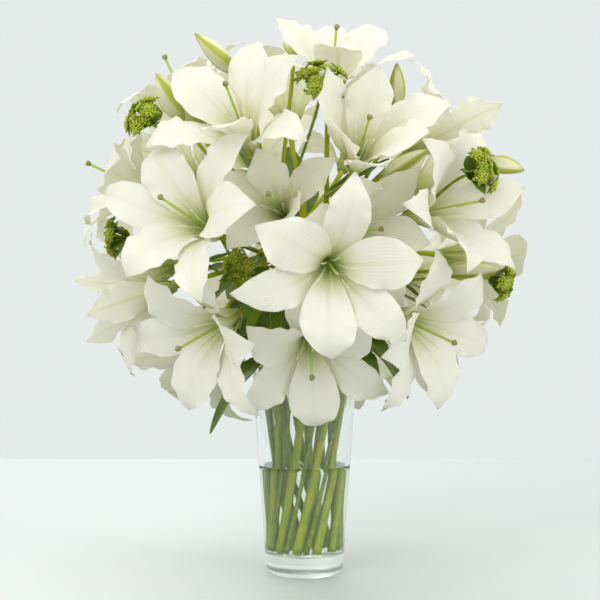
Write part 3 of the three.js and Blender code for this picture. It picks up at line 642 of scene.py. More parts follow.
def tepal_points(bloom, traits, rib, t, across, ruffle=0.0):
    """Points of a tepal at the shares t of its length and the shares across (-1 to 1) of its width. A
    straight line across the midrib is rolled round the bloom's axis near the claw and flattens further out,
    turned a little as it goes, and its edges are lifted in long waves. Where ruffle is given, short waves
    are added and the tip is drawn narrower."""
    turn = (traits.turn + traits.drift * t * t)[..., None]
    outward = around(bloom.right, bloom.up, turn)
    sideways = around(bloom.up, -bloom.right, turn)
    slope = np.interp(t, STATIONS, rib.slope)[..., None]
    inward = around(-outward, bloom.facing, slope)
    twist = (traits.twist * t * t)[..., None]
    lateral = around(sideways, inward, twist)
    normal = around(inward, -sideways, twist)
    distance = np.interp(t, STATIONS, rib.out)
    rolled = 1 - smooth(t, *FLATTENING_SPAN)
    bend = rolled / distance + (1 - rolled) * (CHANNEL + traits.channel)
    x = across * half_width_at(traits, t, distance)
    if ruffle:
        x = x * (1 - POINTED * smooth(t, *POINTED_SPAN))
    edge = np.abs(across) ** 3 * smooth((t - WAVE_FROM) * WAVE_RISE) * smooth((1 - t) * WAVE_FALL)
    phase = traits.wave + np.where(across > 0, WAVE_SHIFT, 0) + WAVE_TURNS * t
    ripple = WAVE_HEIGHT * edge * np.sin(2 * np.pi * phase)
    short = 3 * traits.wave + np.where(across > 0, *RUFFLE_SHIFTS) + RUFFLE_TURNS * t
    short = short + RUFFLE_SPREAD * traits.wave * t * t
    swell = 0.65 + 0.35 * np.sin(2 * np.pi * (SWELL_TURNS * t + 5 * traits.wave))
    ripple = ripple + ruffle * swell * edge * np.abs(across) * np.sin(2 * np.pi * short)
    high = np.interp(t, STATIONS, rib.along)[..., None]
    ridge = bloom.throat + outward * distance[..., None] + bloom.facing * high
    lift = (1 - np.cos(bend * x)) / bend + ripple
    return ridge + lateral * (np.sin(bend * x) / bend)[..., None] + normal * lift[..., None]


def ruling_of(rim, ring):
    """A stem's straight way through the vase, from the floor to the rim. The stems wind round each other."""
    low, high, wind = RINGS[ring]
    start = direction(rim - wind, 0) * low
    end = direction(rim, 0) * high
    start[2] = VASE_FLOOR + STEM_FOOT
    end[2] = VASE_HEIGHT + STEM_PAST_RIM
    return start, end


def bend_of(rim, ring, fork):
    """The control points of the curve that takes a stem from the rim to its fork."""
    start, end = ruling_of(rim, ring)
    top = placed(*fork)
    lead = np.linalg.norm(top - end) * BEND_LEAD
    return end, end + unit(end - start) * lead, top + (end - top) * BEND_TAIL, top


def stalk(bend, share, base, facing, t):
    """Points of a stalk that leaves the bend at a share of it and meets a base point along its facing."""
    start = bezier(bend, [share])[0]
    reach = np.linalg.norm(start - base)
    ahead = base - facing * min(STALK_AHEAD, reach * 0.5)
    return bezier((start, start + (base - start) * STALK_LEAD, ahead, base), t)


def share_of(stem, n):
    """Where stalk number n leaves its stem's bend."""
    return 1 - FORK_SPREAD * n / max(FORK_PLACES, len(stem[3]) + len(stem[4]))


def stem_of_bloom(i):
    """The bend and the share where the stalk of bloom i leaves it."""
    stem = next(s for s in LILY_STEMS if i in s[3])
    return bend_of(*stem[:3]), share_of(stem, stem[3].index(i))


def first_obstacles(blooms):
    """What the tepals keep clear of: each bloom's pistil and filaments, stalks, buds and filler heads."""
    points, radii, owners = [], [], []

    def add(found, radius, owner):
        points.append(found)
        radii.append(np.broadcast_to(radius, len(found)))
        owners.append(np.full(len(found), owner))

    for i, bloom in enumerate(blooms):
        height = np.arange(0, PISTIL_LENGTH + PISTIL_PAST, OBSTACLE_STEP)
        add(bloom.throat + bloom.facing * height[:, None], 1 + PISTIL_CONE * height, i)
        bend, share = stem_of_bloom(i)
        add(stalk(bend, share, bloom.throat, bloom.facing, np.linspace(0, 1, 9)), STALK_REACH, i)
    for azimuth, elevation, out, face_azimuth, face_elevation, length, radius in BUDS:
        height = np.arange(0, length + 0.001, OBSTACLE_STEP)[:, None]
        facing = direction(face_azimuth, face_elevation)
        add(placed(azimuth, elevation, out) + facing * height, radius * BUD_REACH, -1)
    for azimuth, elevation, out, radius in HEADS:
        add(placed(azimuth, elevation, out)[None], radius, -1)
    return np.concatenate(points), np.concatenate(radii), np.concatenate(owners)


def blocked(feelers, points, reach):
    """True where a feeler comes nearer to a point than its reach, or stands over the vase's rim."""
    low = feelers[:, 2] < RIM_CLEAR_HEIGHT
    if (low & (np.hypot(feelers[:, 0], feelers[:, 1]) < RIM_CLEAR_RADIUS)).any():
        return True
    apart = ((feelers[:, None] - points[None]) ** 2).sum(-1)
    return bool((apart < reach**2).any())


def openings_of_all(blooms, sizes):
    """How wide each tepal opens: bloom after bloom, the outer tepals first, each as wide as it can without
    touching what is already there. Returns the openings and every point that the tepals and stalks take."""
    points, radii, owners = first_obstacles(blooms)
    openings = []
    for i, bloom in enumerate(blooms):
        near = (owners != i) & (np.linalg.norm(points - bloom.throat, axis=1) < FEEL_REACH)
        reach = radii[near] + CLEARANCE
        found = [0] * 6

        def feelers(k, opening):
            traits = tepal_traits(i, k, bloom, sizes)
            rib = midrib_of(traits, opening)
            return tepal_points(bloom, traits, rib, FEEL_ROWS, FEEL_COLUMNS).reshape(-1, 3)

        for k in LAYER_ORDER:
            beside = min(found[(k + 1) % 6], found[(k + 5) % 6]) if k % 2 == 0 else bloom.widest
            opening = min(bloom.widest, beside + MOST_UNEVEN)
            while opening > LEAST_OPEN and blocked(feelers(k, opening), points[near], reach):
                opening -= OPEN_STEP
            found[k] = max(opening, LEAST_OPEN)
        taken = np.concatenate([feelers(k, opening) for k, opening in enumerate(found)])
        points = np.concatenate([points, taken])
        radii = np.concatenate([radii, np.zeros(len(taken))])
        owners = np.concatenate([owners, np.full(len(taken), i)])
        openings.append(found)
    return openings, points


def bouquet(settings):
    """The blooms' frames, sizes and openings, worked out once for all the pieces that need them."""
    if not BOUQUET:
        sizes = SimpleNamespace(
            length=round(settings.tepal_length / MM, 3),
            inner=round(settings.inner_half_width / MM, 3),
            outer=round(settings.outer_half_width / MM, 3),
        )
        blooms = bloom_frames()
        openings, points = openings_of_all(blooms, sizes)
        BOUQUET.update(sizes=sizes, blooms=blooms, openings=openings, points=points)
    return SimpleNamespace(**BOUQUET)


def tepal_surface(surface, bloom, traits, rib, settings):
    """One tepal as a closed shell: its middle surface, moved along its normal by half its thickness to either
    side. The thickness thins out towards the margins, a keel stands out below the midrib, and a groove runs
    along it above."""
    t = (0.5 - 0.5 * np.cos(np.linspace(0.0, np.pi * TIP_CUT, TEPAL_ROWS)))[:, None]
    across = np.sin(np.linspace(-np.pi / 2, np.pi / 2, TEPAL_COLUMNS))[None]
    middle = tepal_points(bloom, traits, rib, t, across, settings.ruffle / MM)
    normal = normals_of(middle)
    width = np.linalg.norm(middle - middle[:, TEPAL_COLUMNS // 2][:, None], axis=-1)
    line = np.exp(-((width / KEEL_WIDTH) ** 2)) * (1 - t) ** 0.7 * smooth((t - 0.02) * 12)
    half = settings.blade / MM * (MARGIN_SHARE + BLADE_SHARE * (1 - across**2))
    upper = middle + normal * (half - GROOVE * line)[..., None]
    lower = middle - normal * (half + KEEL * line)[..., None]
    add_shell(surface, upper, lower, across, t)


def cup_surface(surface, bloom):
    """The short green ring that the tepals grow from: a small closed profile turned about its axis."""
    angle = np.linspace(0, 2 * np.pi, CUP_SIDES, endpoint=False)[:, None]
    outward = around(bloom.right, bloom.up, angle[..., None])
    points = bloom.throat + outward * CUP_RADII[:, None] + bloom.facing * CUP_HEIGHTS[:, None]
    surface.add(points, v=np.full(CUP_SIDES, 0.01), mark=1.0, ring=True)


def style_surface(bloom, i, least):
    """The pistil: a green ovary that narrows to a long style, bent a little, with a three-lobed knob on its
    end. A circle is carried along the path, and its radius follows the ovary, the style and the knob."""
    head = bloom.throat + bloom.facing * (CUP_HIGH + PISTIL_FOOT)
    lean = bloom.right * (draw(i + 400) - 0.5) * PISTIL_SWAY + bloom.up * PISTIL_LIFT * draw(i + 500)
    lean = lean * smooth(least, *SWAY_OPENINGS)
    h = np.concatenate([np.linspace(-0.04, 0.9, 16), np.linspace(0.92, 1.0, 8)])
    path = head + bloom.facing * PISTIL_LENGTH * h[:, None] + lean * (h * h)[:, None]
    ovary = OVARY_RADIUS * (1 - smooth(h, *OVARY_SPAN))
    knob = smooth(h, *KNOB_SPAN)
    ball = np.sqrt(np.clip(1 - ((h - KNOB_MIDDLE) / KNOB_HALF) ** 2, 0.02, 1))
    radius = STYLE_RADIUS + ovary + KNOB_RADIUS * knob * ball
    surface = Surface()
    surface.add(tube(path, radius, 12, 0.16 * knob + 0.1 * smooth(0.2 - h)), v=h.clip(0, 1))
    return surface


def filament_surfaces(bloom, i, least):
    """Six thin filaments round the pistil, each a tapering bar that bows outwards and ends in a blunt tip."""
    head = bloom.throat + bloom.facing * CUP_HIGH
    spread = math.radians(min(MOST_SPREAD, 4 + least * 0.12))
    h = np.linspace(0, 1, 14)[:, None]
    surface = Surface()
    for k in range(6):
        turn = math.radians(bloom.roll + 60 * k + FILAMENT_SWAY * (draw(i * 7 + k) - 0.5))
        outward = around(bloom.right, bloom.up, turn)
        reach = FILAMENT_LENGTH * draw(i * 11 + k, *FILAMENT_DRAW)
        path = head + outward * (FILAMENT_RING + reach * math.sin(spread) * h**1.5)
        path = path + bloom.facing * reach * math.cos(spread) * h
        radius = FILAMENT_RADIUS - FILAMENT_TAPER * h[:, 0] ** 2
        surface.add(tube(path, radius, 6), v=h[:, 0])
    return surface


# Green parts


def stem_path(rim, ring, fork):
    """The whole of a stem: the straight ruling through the vase, then the bend to its fork, in even steps."""
    start, end = ruling_of(rim, ring)
    straight = start + (end - start) * np.linspace(0, 1, 30)[:, None]
    curve = bezier(bend_of(rim, ring, fork), np.linspace(0, 1, 22)[1:])
    return np.concatenate([straight, curve])


def stem_surface(rim, ring, fork, radius, seed):
    """A stem as rings along its path, thickest at its cut foot, with faint joints where leaves sat."""
    path = stem_path(rim, ring, fork)
    run = np.concatenate([[0], np.cumsum(np.linalg.norm(np.diff(path, axis=0), axis=1))])
    share = run / run[-1]
    joints = 0.05 * np.clip(np.cos(2 * np.pi * (run / JOINT_SPACING + draw(seed))), 0.6, 1) - 0.04
    radii = radius * (1.02 - STEM_TAPER * share + joints)
    radii[-1] *= 0.7
    surface = Surface()
    surface.add(tube(path, radii, 14), v=share)
    return surface


def pedicel_surface(surface, bend, share, bloom):
    """The stalk of a bloom, from inside its stem to the receptacle, where it widens."""
    t = np.linspace(0, 1, 22)
    path = stalk(bend, share, bloom.throat, bloom.facing, t)
    head = bloom.throat + bloom.facing * (CUP_HIGH + PISTIL_FOOT)
    path = np.concatenate([path, head[None]])
    radii = PEDICEL_RADIUS + (RECEPTACLE_RADIUS - PEDICEL_RADIUS) * smooth(t, *RECEPTACLE_SPAN)
    surface.add(tube(path, np.append(radii, RECEPTACLE_RADIUS), 10), v=np.append(t, 1) * 0.3 + 0.7)


def bud_stalk_surface(surface, bend, share, bud):
    """The stalk of a bud, from inside its stem to the bud's foot, where it widens."""
    azimuth, elevation, out, face_azimuth, face_elevation, _, radius = bud
    facing = direction(face_azimuth, face_elevation)
    base = placed(azimuth, elevation, out) + facing
    path = stalk(bend, share, base - facing * STRAIGHT_NECK, facing, np.linspace(0, 1, 18))
    radii = np.append(np.full(18, BUD_STALK_RADIUS), BUD_FOOT_SHARE * radius)
    surface.add(tube(np.concatenate([path, base[None]]), radii, 10), v=np.linspace(0.6, 1, 19))


def leaf_surface(surface, start, heading, size, thickness, seed, teeth=0, fold=LEAF_CHANNEL):
    """A leaf as a closed shell about a middle surface: the midrib runs along the heading and droops with the
    square of its share, the outline is a power of a sine, lifted on both sides of the midrib. Teeth cut the
    outline in a sawtooth, and a slow wave bends the margins. size is its length, half width and droop."""
    length, half_width, droop = size
    rows = 6 * teeth + 12 if teeth else 26
    t = np.linspace(0, 0.995, rows)[:, None]
    across = np.sin(np.linspace(-np.pi / 2, np.pi / 2, LEAF_COLUMNS))[None]
    level = unit(np.cross(heading, [0, 0, 1]))
    width = half_width * np.sin(np.pi * t**0.8) ** 0.8
    if teeth:
        saw = (t * teeth) % 1
        width = width * (1 - TOOTH_DEPTH * across**2 * (1 - saw) ** 0.8 * (1 - t))
    x = across * np.maximum(width, min(1.2, half_width * 0.3) * (1 - t) + 0.15)
    turns = 2.2 * t + draw(seed) + 0.3 * np.sign(across)
    wave = LEAF_WAVE * half_width * across**2 * np.sin(2 * np.pi * turns)
    middle = start + heading * (length * t)[..., None] + level * x[..., None]
    middle = middle + np.array([0, 0, 1.0]) * (np.abs(x) * fold + wave - droop * t * t)[..., None]
    normal = normals_of(middle)
    rib = np.exp(-((x / (0.06 * half_width + 0.3)) ** 2)) * (1 - t)
    half = thickness / MM / 2
    upper = middle + normal * half
    lower = middle - normal * (half + 0.5 * rib)[..., None]
    if upper[rows // 2, LEAF_COLUMNS // 2, 2] < lower[rows // 2, LEAF_COLUMNS // 2, 2]:
        upper, lower = lower, upper
    add_shell(surface, upper, lower, across, t)


def bud_surface(azimuth, elevation, out, face_azimuth, face_elevation, length, radius):
    """A closed bud: rings along its axis, round at the foot, widest before the middle and drawn to a point.
    Three raised ribs with fine grooves between them run along it and turn a little."""
    facing = direction(face_azimuth, face_elevation)
    right, up = across_of(facing)
    t = (0.5 - 0.5 * np.cos(np.linspace(0, np.pi, 40)))[:, None]
    angle = np.linspace(0, 2 * np.pi, 48, endpoint=False)[None]
    swell = np.sqrt(np.sin(np.pi * np.clip(t, 0, 0.999) ** 0.8) ** 1.5 + 0.09 * (1 - t) ** 2)
    turned = 3 * (angle + 0.5 * t)
    grooves = np.exp(-((np.sin(turned / 2) - 1) ** 2) / GROOVE_WIDTH)
    seams = np.exp(-((np.sin(turned / 2) + 1) ** 2) / GROOVE_WIDTH)
    ribs = BUD_RIB * np.cos(turned) * smooth(t * 5) - BUD_RIB * grooves - BUD_GROOVE * seams
    reach = radius * swell * (1 + ribs * np.sin(np.pi * t**0.7))
    points = placed(azimuth, elevation, out) + facing * (length * t)[..., None]
    points = points + around(right, up, angle[..., None]) * reach[..., None]
    surface = Surface()
    surface.add(points, np.linspace(0, 1, 49), t[:, 0])
    return surface


def bract_surface(surface, base, along, side, length):
    """A small pointed bract: a thin shell, six rings long, cupped and bent outwards towards its tip."""
    t = np.linspace(0.02, 0.98, 6)[:, None]
    across = np.array([[-1, 0, 1.0]])
    up = np.cross(side, along)
    x = across * BRACT_WIDTH * np.sin(np.pi * t**0.75) ** 0.8
    middle = base + along * (length * t)[..., None] + side * x[..., None]
    lift = BRACT_CUP * (across**2) * BRACT_WIDTH * 0.5 - 0.25 * length * t * t
    middle = middle + up * lift[..., None]
    add_shell(surface, middle + up * BRACT_HALF, middle - up * BRACT_HALF, across, t, back=0.0)


def bead_surface(surface, middle, axis, radius):
    """A tiny floret: a rounded drop of four rings with five sides."""
    h = np.array([-0.8, -0.2, 0.5, 0.95])
    path = middle + axis * (h * radius)[:, None]
    surface.add(tube(path, radius * np.array([0.5, 0.95, 0.85, 0.3]), 5))


def stalk_side(path):
    """The direction from a short path's axis to the first corner of its rings, carried along its corners."""
    side = np.array([1.0, 0, 0])
    for i in range(len(path)):
        tangent = unit(path[min(i + 1, len(path) - 1)] - path[max(i - 1, 0)])
        if i == 0 and abs(tangent[0]) > 0.8:
            side = np.array([0, 1.0, 0])
        side = unit(side - tangent * (side @ tangent))
    return side, tangent


def head_surfaces(green, florets, leaves, bend, head, seed, thickness):
    """A filler head: five long rays spread from the end of its stalk, with five short ones between and inside
    them. Each ends in a star of pointed bracts round a dome of tiny florets, and small oval leaves stand
    where the rays part."""
    azimuth, elevation, out, radius = head
    facing = direction(azimuth, elevation)
    base = placed(azimuth, elevation, out) - facing * radius
    neck = base - facing * STRAIGHT_NECK
    corners = np.concatenate([stalk(bend, 1, neck, facing, [0, 0.5, 1]), base[None]])
    side, tangent = stalk_side(corners)
    other = np.cross(tangent, side)
    path = np.concatenate([stalk(bend, 1, neck, facing, np.linspace(0, 1, 16)), base[None]])
    green.add(tube(path, np.append(np.full(16, HEAD_STALK), HEAD_STALK_TOP), 8), v=np.linspace(0.5, 1, 17))
    for k in range(HEAD_RAYS):
        angle = 2 * math.pi * (k + 0.5) / HEAD_RAYS
        outward = around(side, other, angle)
        ray = around(facing, outward, RAY_LEAN)
        star_ray(green, florets, base, ray, radius * RAY_LENGTH, seed * 5 + k)
        turned = around(side, other, angle + SHORT_RAY_TURN)
        ray = around(facing, turned, draw(seed * 17 + k, *SHORT_RAY_LEAN))
        length = radius * draw(seed * 19 + k, *SHORT_RAY_LENGTH)
        star_ray(green, florets, base, ray, length, seed * 6 + k + 70)
        rise = draw(seed * 7 + k, *SMALL_LEAF_RISE)
        between = unit(outward + 0.8 * np.cross(facing, outward) + facing * rise)
        length = radius * draw(seed * 3 + k, *SMALL_LEAF_LENGTH)
        size = (length, SMALL_LEAF_WIDTH * length, SMALL_LEAF_DROOP * length)
        leaf_surface(leaves, base, between, size, thickness, seed + k, fold=SMALL_LEAF_FOLD)


def star_ray(green, florets, base, ray, length, seed):
    """One ray of a head with its star and its dome. The florets follow a spiral over a round cap."""
    across = unit(np.cross(ray, [0.3, 0.2, 0.9]))
    other = np.cross(ray, across)
    t = np.linspace(0, STAR_SHARE, 5)[:, None]
    green.add(tube(base + ray * length * t, RAY_RADII, 5))
    middle = base + ray * length * STAR_SHARE
    for k in range(BRACTS):
        outward = around(across, other, 2 * math.pi * (k + draw(seed)) / BRACTS)
        along = unit(outward + ray * draw(seed * 9 + k, *BRACT_LEAN))
        bract_surface(green, middle, along, unit(np.cross(along, ray)), draw(seed + k, *BRACT_LENGTH))
    for k in range(FLORETS):
        reach = FLORET_CAP * math.sqrt((k + 0.5) / FLORETS)
        rise = 1.2 + 3.4 * math.sqrt(max(0, 1 - (reach / (1.05 * FLORET_CAP)) ** 2))
        spot = middle + around(across, other, GOLDEN_TURN * k) * reach + ray * rise
        bead_surface(florets, spot, unit(spot - middle), draw(seed * 13 + k, *FLORET_RADIUS))


def foliage(surface, bend, thickness, seed, taken):
    """Slender leaves on a stem inside the bouquet. Each heads out from the centre, turned by a draw, and is
    as long as it can be without touching a tepal or leaving the ball of blooms."""
    run = np.linspace(0.25, 1, 9)
    for n, share in enumerate(np.linspace(0.3, 0.98, 7)):
        start = bezier(bend, [share])[0]
        out = unit(start - CENTRE + np.array([0, 0, 6.0]))
        turned = unit(out + 1.1 * (np.array([draw(seed + n * 3 + c) for c in range(3)]) - 0.45))
        for length in SLENDER_LENGTHS:
            droop = SLENDER_DROOP * length
            line = start + turned * run[:, None] * length
            line[:, 2] -= droop * run**2
            inside = np.linalg.norm(line[-1] - CENTRE) < SLENDER_REACH
            if inside and not blocked(line, taken, SLENDER_CLEAR):
                size = (length, SLENDER_WIDTH * length, droop)
                leaf_surface(surface, start, turned, size, thickness, seed + n)
                break


# Vase and water


def inner_radius(z, vase):
    """The glass wall's inner radius at a height."""
    share = (z - vase.floor) / (vase.height - vase.floor)
    low = vase.foot - FOOT_WALL
    high = vase.rim - RIM_WALL
    return low + (high - low) * share


def vase_sizes(settings):
    """The vase's sizes in millimetres."""
    names = ("height", "rim", "foot", "corner", "floor", "water")
    return SimpleNamespace(**{name: round(getattr(settings, name) / MM, 3) for name in names})


def arc(middle, radius, start, end, steps):
    """Points of an arc in radius and height, between two angles in degrees."""
    a = np.radians(np.linspace(start, end, steps))
    return np.stack([middle[0] + radius * np.cos(a), middle[1] + radius * np.sin(a)], -1)


def glass_profile(vase):
    """The vase's section: a base hollowed a little, rounded corner, straight flaring wall, round lip, and
    inside it the wall down to a softly rounded floor that rises a little in its middle."""
    flare = vase.rim - vase.foot
    rise = vase.height - vase.corner
    lean = math.degrees(math.atan2(flare, rise))
    corner = arc((vase.foot - vase.corner, vase.corner), vase.corner, -90, -lean, 10)
    heights = np.linspace(vase.corner * 1.4, vase.height - WALL_TOP, 24)
    wall = np.stack([vase.foot + flare / rise * (heights - vase.corner), heights], -1)
    lip = arc((vase.rim - RIM_WALL / 2, vase.height - RIM_WALL / 2), RIM_WALL / 2, -lean, 180, 10)
    inner_heights = np.linspace(vase.height - WALL_TOP, vase.floor + BOWL_TOP, 24)
    inner = np.stack([inner_radius(inner_heights, vase), inner_heights], -1)
    inside = inner_radius(vase.floor, vase)
    bowl = arc((inside - BOWL_RADIUS, vase.floor + BOWL_RADIUS), BOWL_RADIUS, -4, -90, 9)
    under = np.array(HOLLOW) * [vase.foot, 1]
    dome = np.array([[inside * 0.5, vase.floor + 0.15], [NEAR_AXIS, vase.floor + 0.35]])
    return np.concatenate([under, corner, wall, lip, inner, bowl, dome])


def water_profile(vase):
    """The water's section: it wets the glass all over, and its surface is flat up to the wall."""
    inside = inner_radius(vase.floor, vase)
    bowl = arc((inside - BOWL_RADIUS + WET, vase.floor + BOWL_RADIUS), BOWL_RADIUS, -90, -4, 9)
    bowl[:, 1] -= WET
    heights = np.linspace(vase.floor + BOWL_TOP, vase.water, 16)
    wall = np.stack([inner_radius(heights, vase) + WET, heights], -1)
    edge = inner_radius(vase.water, vase)
    top = np.array([[edge - 1, vase.water], [edge / 2, vase.water], [NEAR_AXIS, vase.water]])
    return np.concatenate([[[NEAR_AXIS, vase.floor - WET]], bowl, wall, top])


# Materials


def node(tree, kind, inputs=(), output=0, stops=(), **settings):
    """Adds a node and returns one of its outputs. inputs gives values, or outputs to link, by place or by
    socket, and stops fills a colour ramp with positions and colours. A MapRange lists its value, the range
    that it comes from and the range that it goes to. A Mix has its factor in socket 0, its numbers in 2 and
    3 and its colours in 6 and 7."""
    made = tree.nodes.new("ShaderNode" + kind)
    for name, value in settings.items():
        setattr(made, name, value)
    for socket, value in inputs.items() if isinstance(inputs, dict) else enumerate(inputs):
        if isinstance(value, bpy.types.NodeSocket):
            tree.links.new(value, made.inputs[socket])
        else:
            made.inputs[socket].default_value = value
    for _ in stops[2:]:
        made.color_ramp.elements.new(1.0)
    for element, (position, colour) in zip(made.color_ramp.elements if stops else (), stops):
        element.position = position
        element.color = colour
    return made.outputs[output] if made.outputs else made


def new_material(name):
    """A material and its node tree, emptied."""
    material = bpy.data.materials.new(name)
    material.use_nodes = True
    material.node_tree.nodes.clear()
    return material, material.node_tree


def surface_places(tree):
    """Where a point lies: across and along its piece as outputs, and its place in the scene."""
    uv = node(tree, "UVMap", uv_map="UVMap")
    across = node(tree, "SeparateXYZ", [uv])
    place = node(tree, "TexCoord", output="Object")
    return SimpleNamespace(uv=uv, across=across, along=across.node.outputs["Y"], place=place)


def mottled(tree, body, tint, place, scale, detail, span, most=1.0, **settings):
    """Blends a tint into a colour in patches, where a noise rises through a span. Returns the colour and the
    noise."""
    cloud = node(tree, "TexNoise", {"Vector": place, "Scale": scale, "Detail": detail})
    patch = node(tree, "MapRange", (cloud, *span, 0.0, most), **settings)
    return node(tree, "Mix", {0: patch, 6: body, 7: tint}, 2, data_type="RGBA"), cloud


def tissue(name, colour, *, roughness, specular, through, relief, sheen=0.0, glow=None):
    """A material of thin living tissue. Its colour and height come from a function of the node tree, the
    surface is satin, and a share of the light behind it comes through, tinted by the tissue or by a glow of
    its own."""
    material, tree = new_material(name)
    body, height = colour(tree)
    normal = node(tree, "Bump", {"Strength": 1.0, "Distance": relief * MM, "Height": height})
    inputs = {"Base Color": body, "Roughness": roughness, "Specular IOR Level": specular, "Normal": normal}
    inputs["Sheen Weight"] = sheen
    front = node(tree, "BsdfPrincipled", inputs)
    behind = node(tree, "BsdfTranslucent", {"Color": glow or body, "Normal": normal})
    node(tree, "OutputMaterial", {"Surface": node(tree, "MixShader", (through, front, behind))})
    return material


def tepal_material(colours):
    """Lily tepal: satin white tissue that lets light through, green down in the throat and along the midrib,
    with fine veins along it. The veins stand 2 to 3 mm apart and are raised by a tenth of a millimetre."""

    def colour(tree):
        at = surface_places(tree)
        back = node(tree, "Attribute", output="Fac", attribute_name="mark")
        positions = (0.0, 0.07, 0.16, 0.28, 0.46)
        tints = (colours.throat, colours.throat, colours.midrib, colours.cream, colours.white)
        body = node(tree, "ValToRGB", [at.along], stops=list(zip(positions, tints)))
        centred = node(tree, "Math", (at.across, 0.5), operation="SUBTRACT")
        aside = node(tree, "Math", [centred], operation="ABSOLUTE")
        rib = node(tree, "MapRange", (aside, 0.0, 0.075, 1.0, 0.0), **SOFT)
        front = node(tree, "MapRange", (at.along, 0.1, 0.6, 0.7, 0.06))
        below = node(tree, "MapRange", (at.along, 0.2, 1.0, 0.75, 0.3))
        strength = node(tree, "Mix", {0: back, 2: front, 3: below})
        ribbed = node(tree, "Math", (rib, strength), operation="MULTIPLY")
        body = node(tree, "Mix", {0: ribbed, 6: body, 7: colours.midrib}, 2, data_type="RGBA")
        body, _ = mottled(tree, body, colours.cream, at.place, 40.0, 3.0, (0.4, 0.75), 0.2)
        turns = node(tree, "Math", (at.across, 2 * math.pi * TEPAL_VEINS), operation="MULTIPLY")
        veins = node(tree, "Math", [turns], operation="SINE")
        wander = node(tree, "TexNoise", {"Vector": at.uv, "Scale": 9.0, "Detail": 3.0})
        return body, node(tree, "Math", (veins, 0.22, wander), operation="MULTIPLY_ADD")

    return tissue(
        "lily_tepal_satin_white",
        colour,
        roughness=0.5,
        specular=0.3,
        through=0.45,
        relief=0.22,
        sheen=0.06,
        glow=list(colours.glow),
    )


def bud_material(colours):
    """Lily bud: smooth closed tissue, pale cream between three yellow-green ribs, green at its foot and on
    its tip, with fine lines along it a millimetre or two apart."""

    def colour(tree):
        at = surface_places(tree)
        advance = node(tree, "Math", (at.along, 1.5), operation="MULTIPLY")
        turned = node(tree, "Math", (at.across, 6 * math.pi, advance), operation="MULTIPLY_ADD")
        crest = node(tree, "Math", [turned], operation="COSINE")
        rib = node(tree, "MapRange", (crest, -0.3, 0.9, 0.0, 0.95), **SOFT)
        foot = node(tree, "MapRange", (at.along, 0.0, 0.3, 0.9, 0.0), **SOFT)
        tip = node(tree, "MapRange", (at.along, 0.82, 1.0, 0.0, 0.8), **SOFT)
        ends = node(tree, "Math", (foot, tip), operation="MAXIMUM")
        green = node(tree, "Math", (rib, ends), operation="MAXIMUM")
        cloud = node(tree, "TexNoise", {"Vector": at.place, "Scale": 120.0, "Detail": 4.0})
        pale = node(tree, "Mix", {0: cloud, 6: colours.cream, 7: colours.bud_pale}, 2, data_type="RGBA")
        body = node(tree, "Mix", {0: green, 6: pale, 7: colours.bud_green}, 2, data_type="RGBA")
        lines = node(tree, "Math", (at.across, 2 * math.pi * BUD_LINES), operation="MULTIPLY")
        return body, node(tree, "Math", [lines], operation="SINE")

    looks = {"roughness": 0.42, "specular": 0.4, "through": 0.15, "relief": 0.06, "sheen": 0.05}
    return tissue("lily_bud_satin", colour, **looks)


def pistil_material(colours):
    """Pistil: juicy green tissue with a wet shine, mottled paler, and a dull olive knob on its end."""

    def colour(tree):
        at = surface_places(tree)
        positions = (0.0, 0.25, 0.92, 0.95)
        tints = (colours.throat, colours.pistil, colours.pistil, colours.stigma)
        body = node(tree, "ValToRGB", [at.along], stops=list(zip(positions, tints)))
        return mottled(tree, body, colours.cream, at.place, 300.0, 3.0, (0.4, 0.8), 0.25)

    return tissue("lily_pistil_juicy_green", colour, roughness=0.3, specular=0.5, through=0.1, relief=0.08)


def filament_material(colours):
    """Filament: thin pale tissue, greener at its foot."""

    def colour(tree):
        at = surface_places(tree)
        stops = ((0.0, colours.pistil), (0.45, colours.filament), (1.0, colours.cream))
        body = node(tree, "ValToRGB", [at.along], stops=stops)
        return body, node(tree, "TexNoise", {"Vector": at.place, "Scale": 260.0})

    return tissue("lily_filament_pale", colour, roughness=0.4, specular=0.4, through=0.2, relief=0.05)


def stem_material(name, light, dark, pale):
    """Cut stem: a smooth waxy rind with darker streaks and fine fibres along it, yellower in long patches."""

    def colour(tree):
        uv = node(tree, "UVMap", uv_map="UVMap")
        long_grain = node(tree, "Mapping", {"Vector": uv, "Scale": (9.0, 7.0, 1.0)})
        grain = {"Vector": long_grain, "Scale": 1.0, "Detail": 4.0, "Roughness": 0.6}
        streaks = node(tree, "TexNoise", grain)
        dim = node(tree, "MapRange", (streaks, 0.45, 0.7), **SOFT)
        body = node(tree, "Mix", {0: dim, 6: light, 7: dark}, 2, data_type="RGBA")
        place = node(tree, "TexCoord", output="Object")
        body, _ = mottled(tree, body, pale, place, 45.0, 2.0, (0.48, 0.7), 0.8, **SOFT)
        fine = node(tree, "Mapping", {"Vector": uv, "Scale": (60.0, 9.0, 1.0)})
        return body, node(tree, "TexNoise", {"Vector": fine, "Scale": 1.0, "Detail": 2.0})

    return tissue(name, colour, roughness=0.45, specular=0.3, through=0.06, relief=0.12)


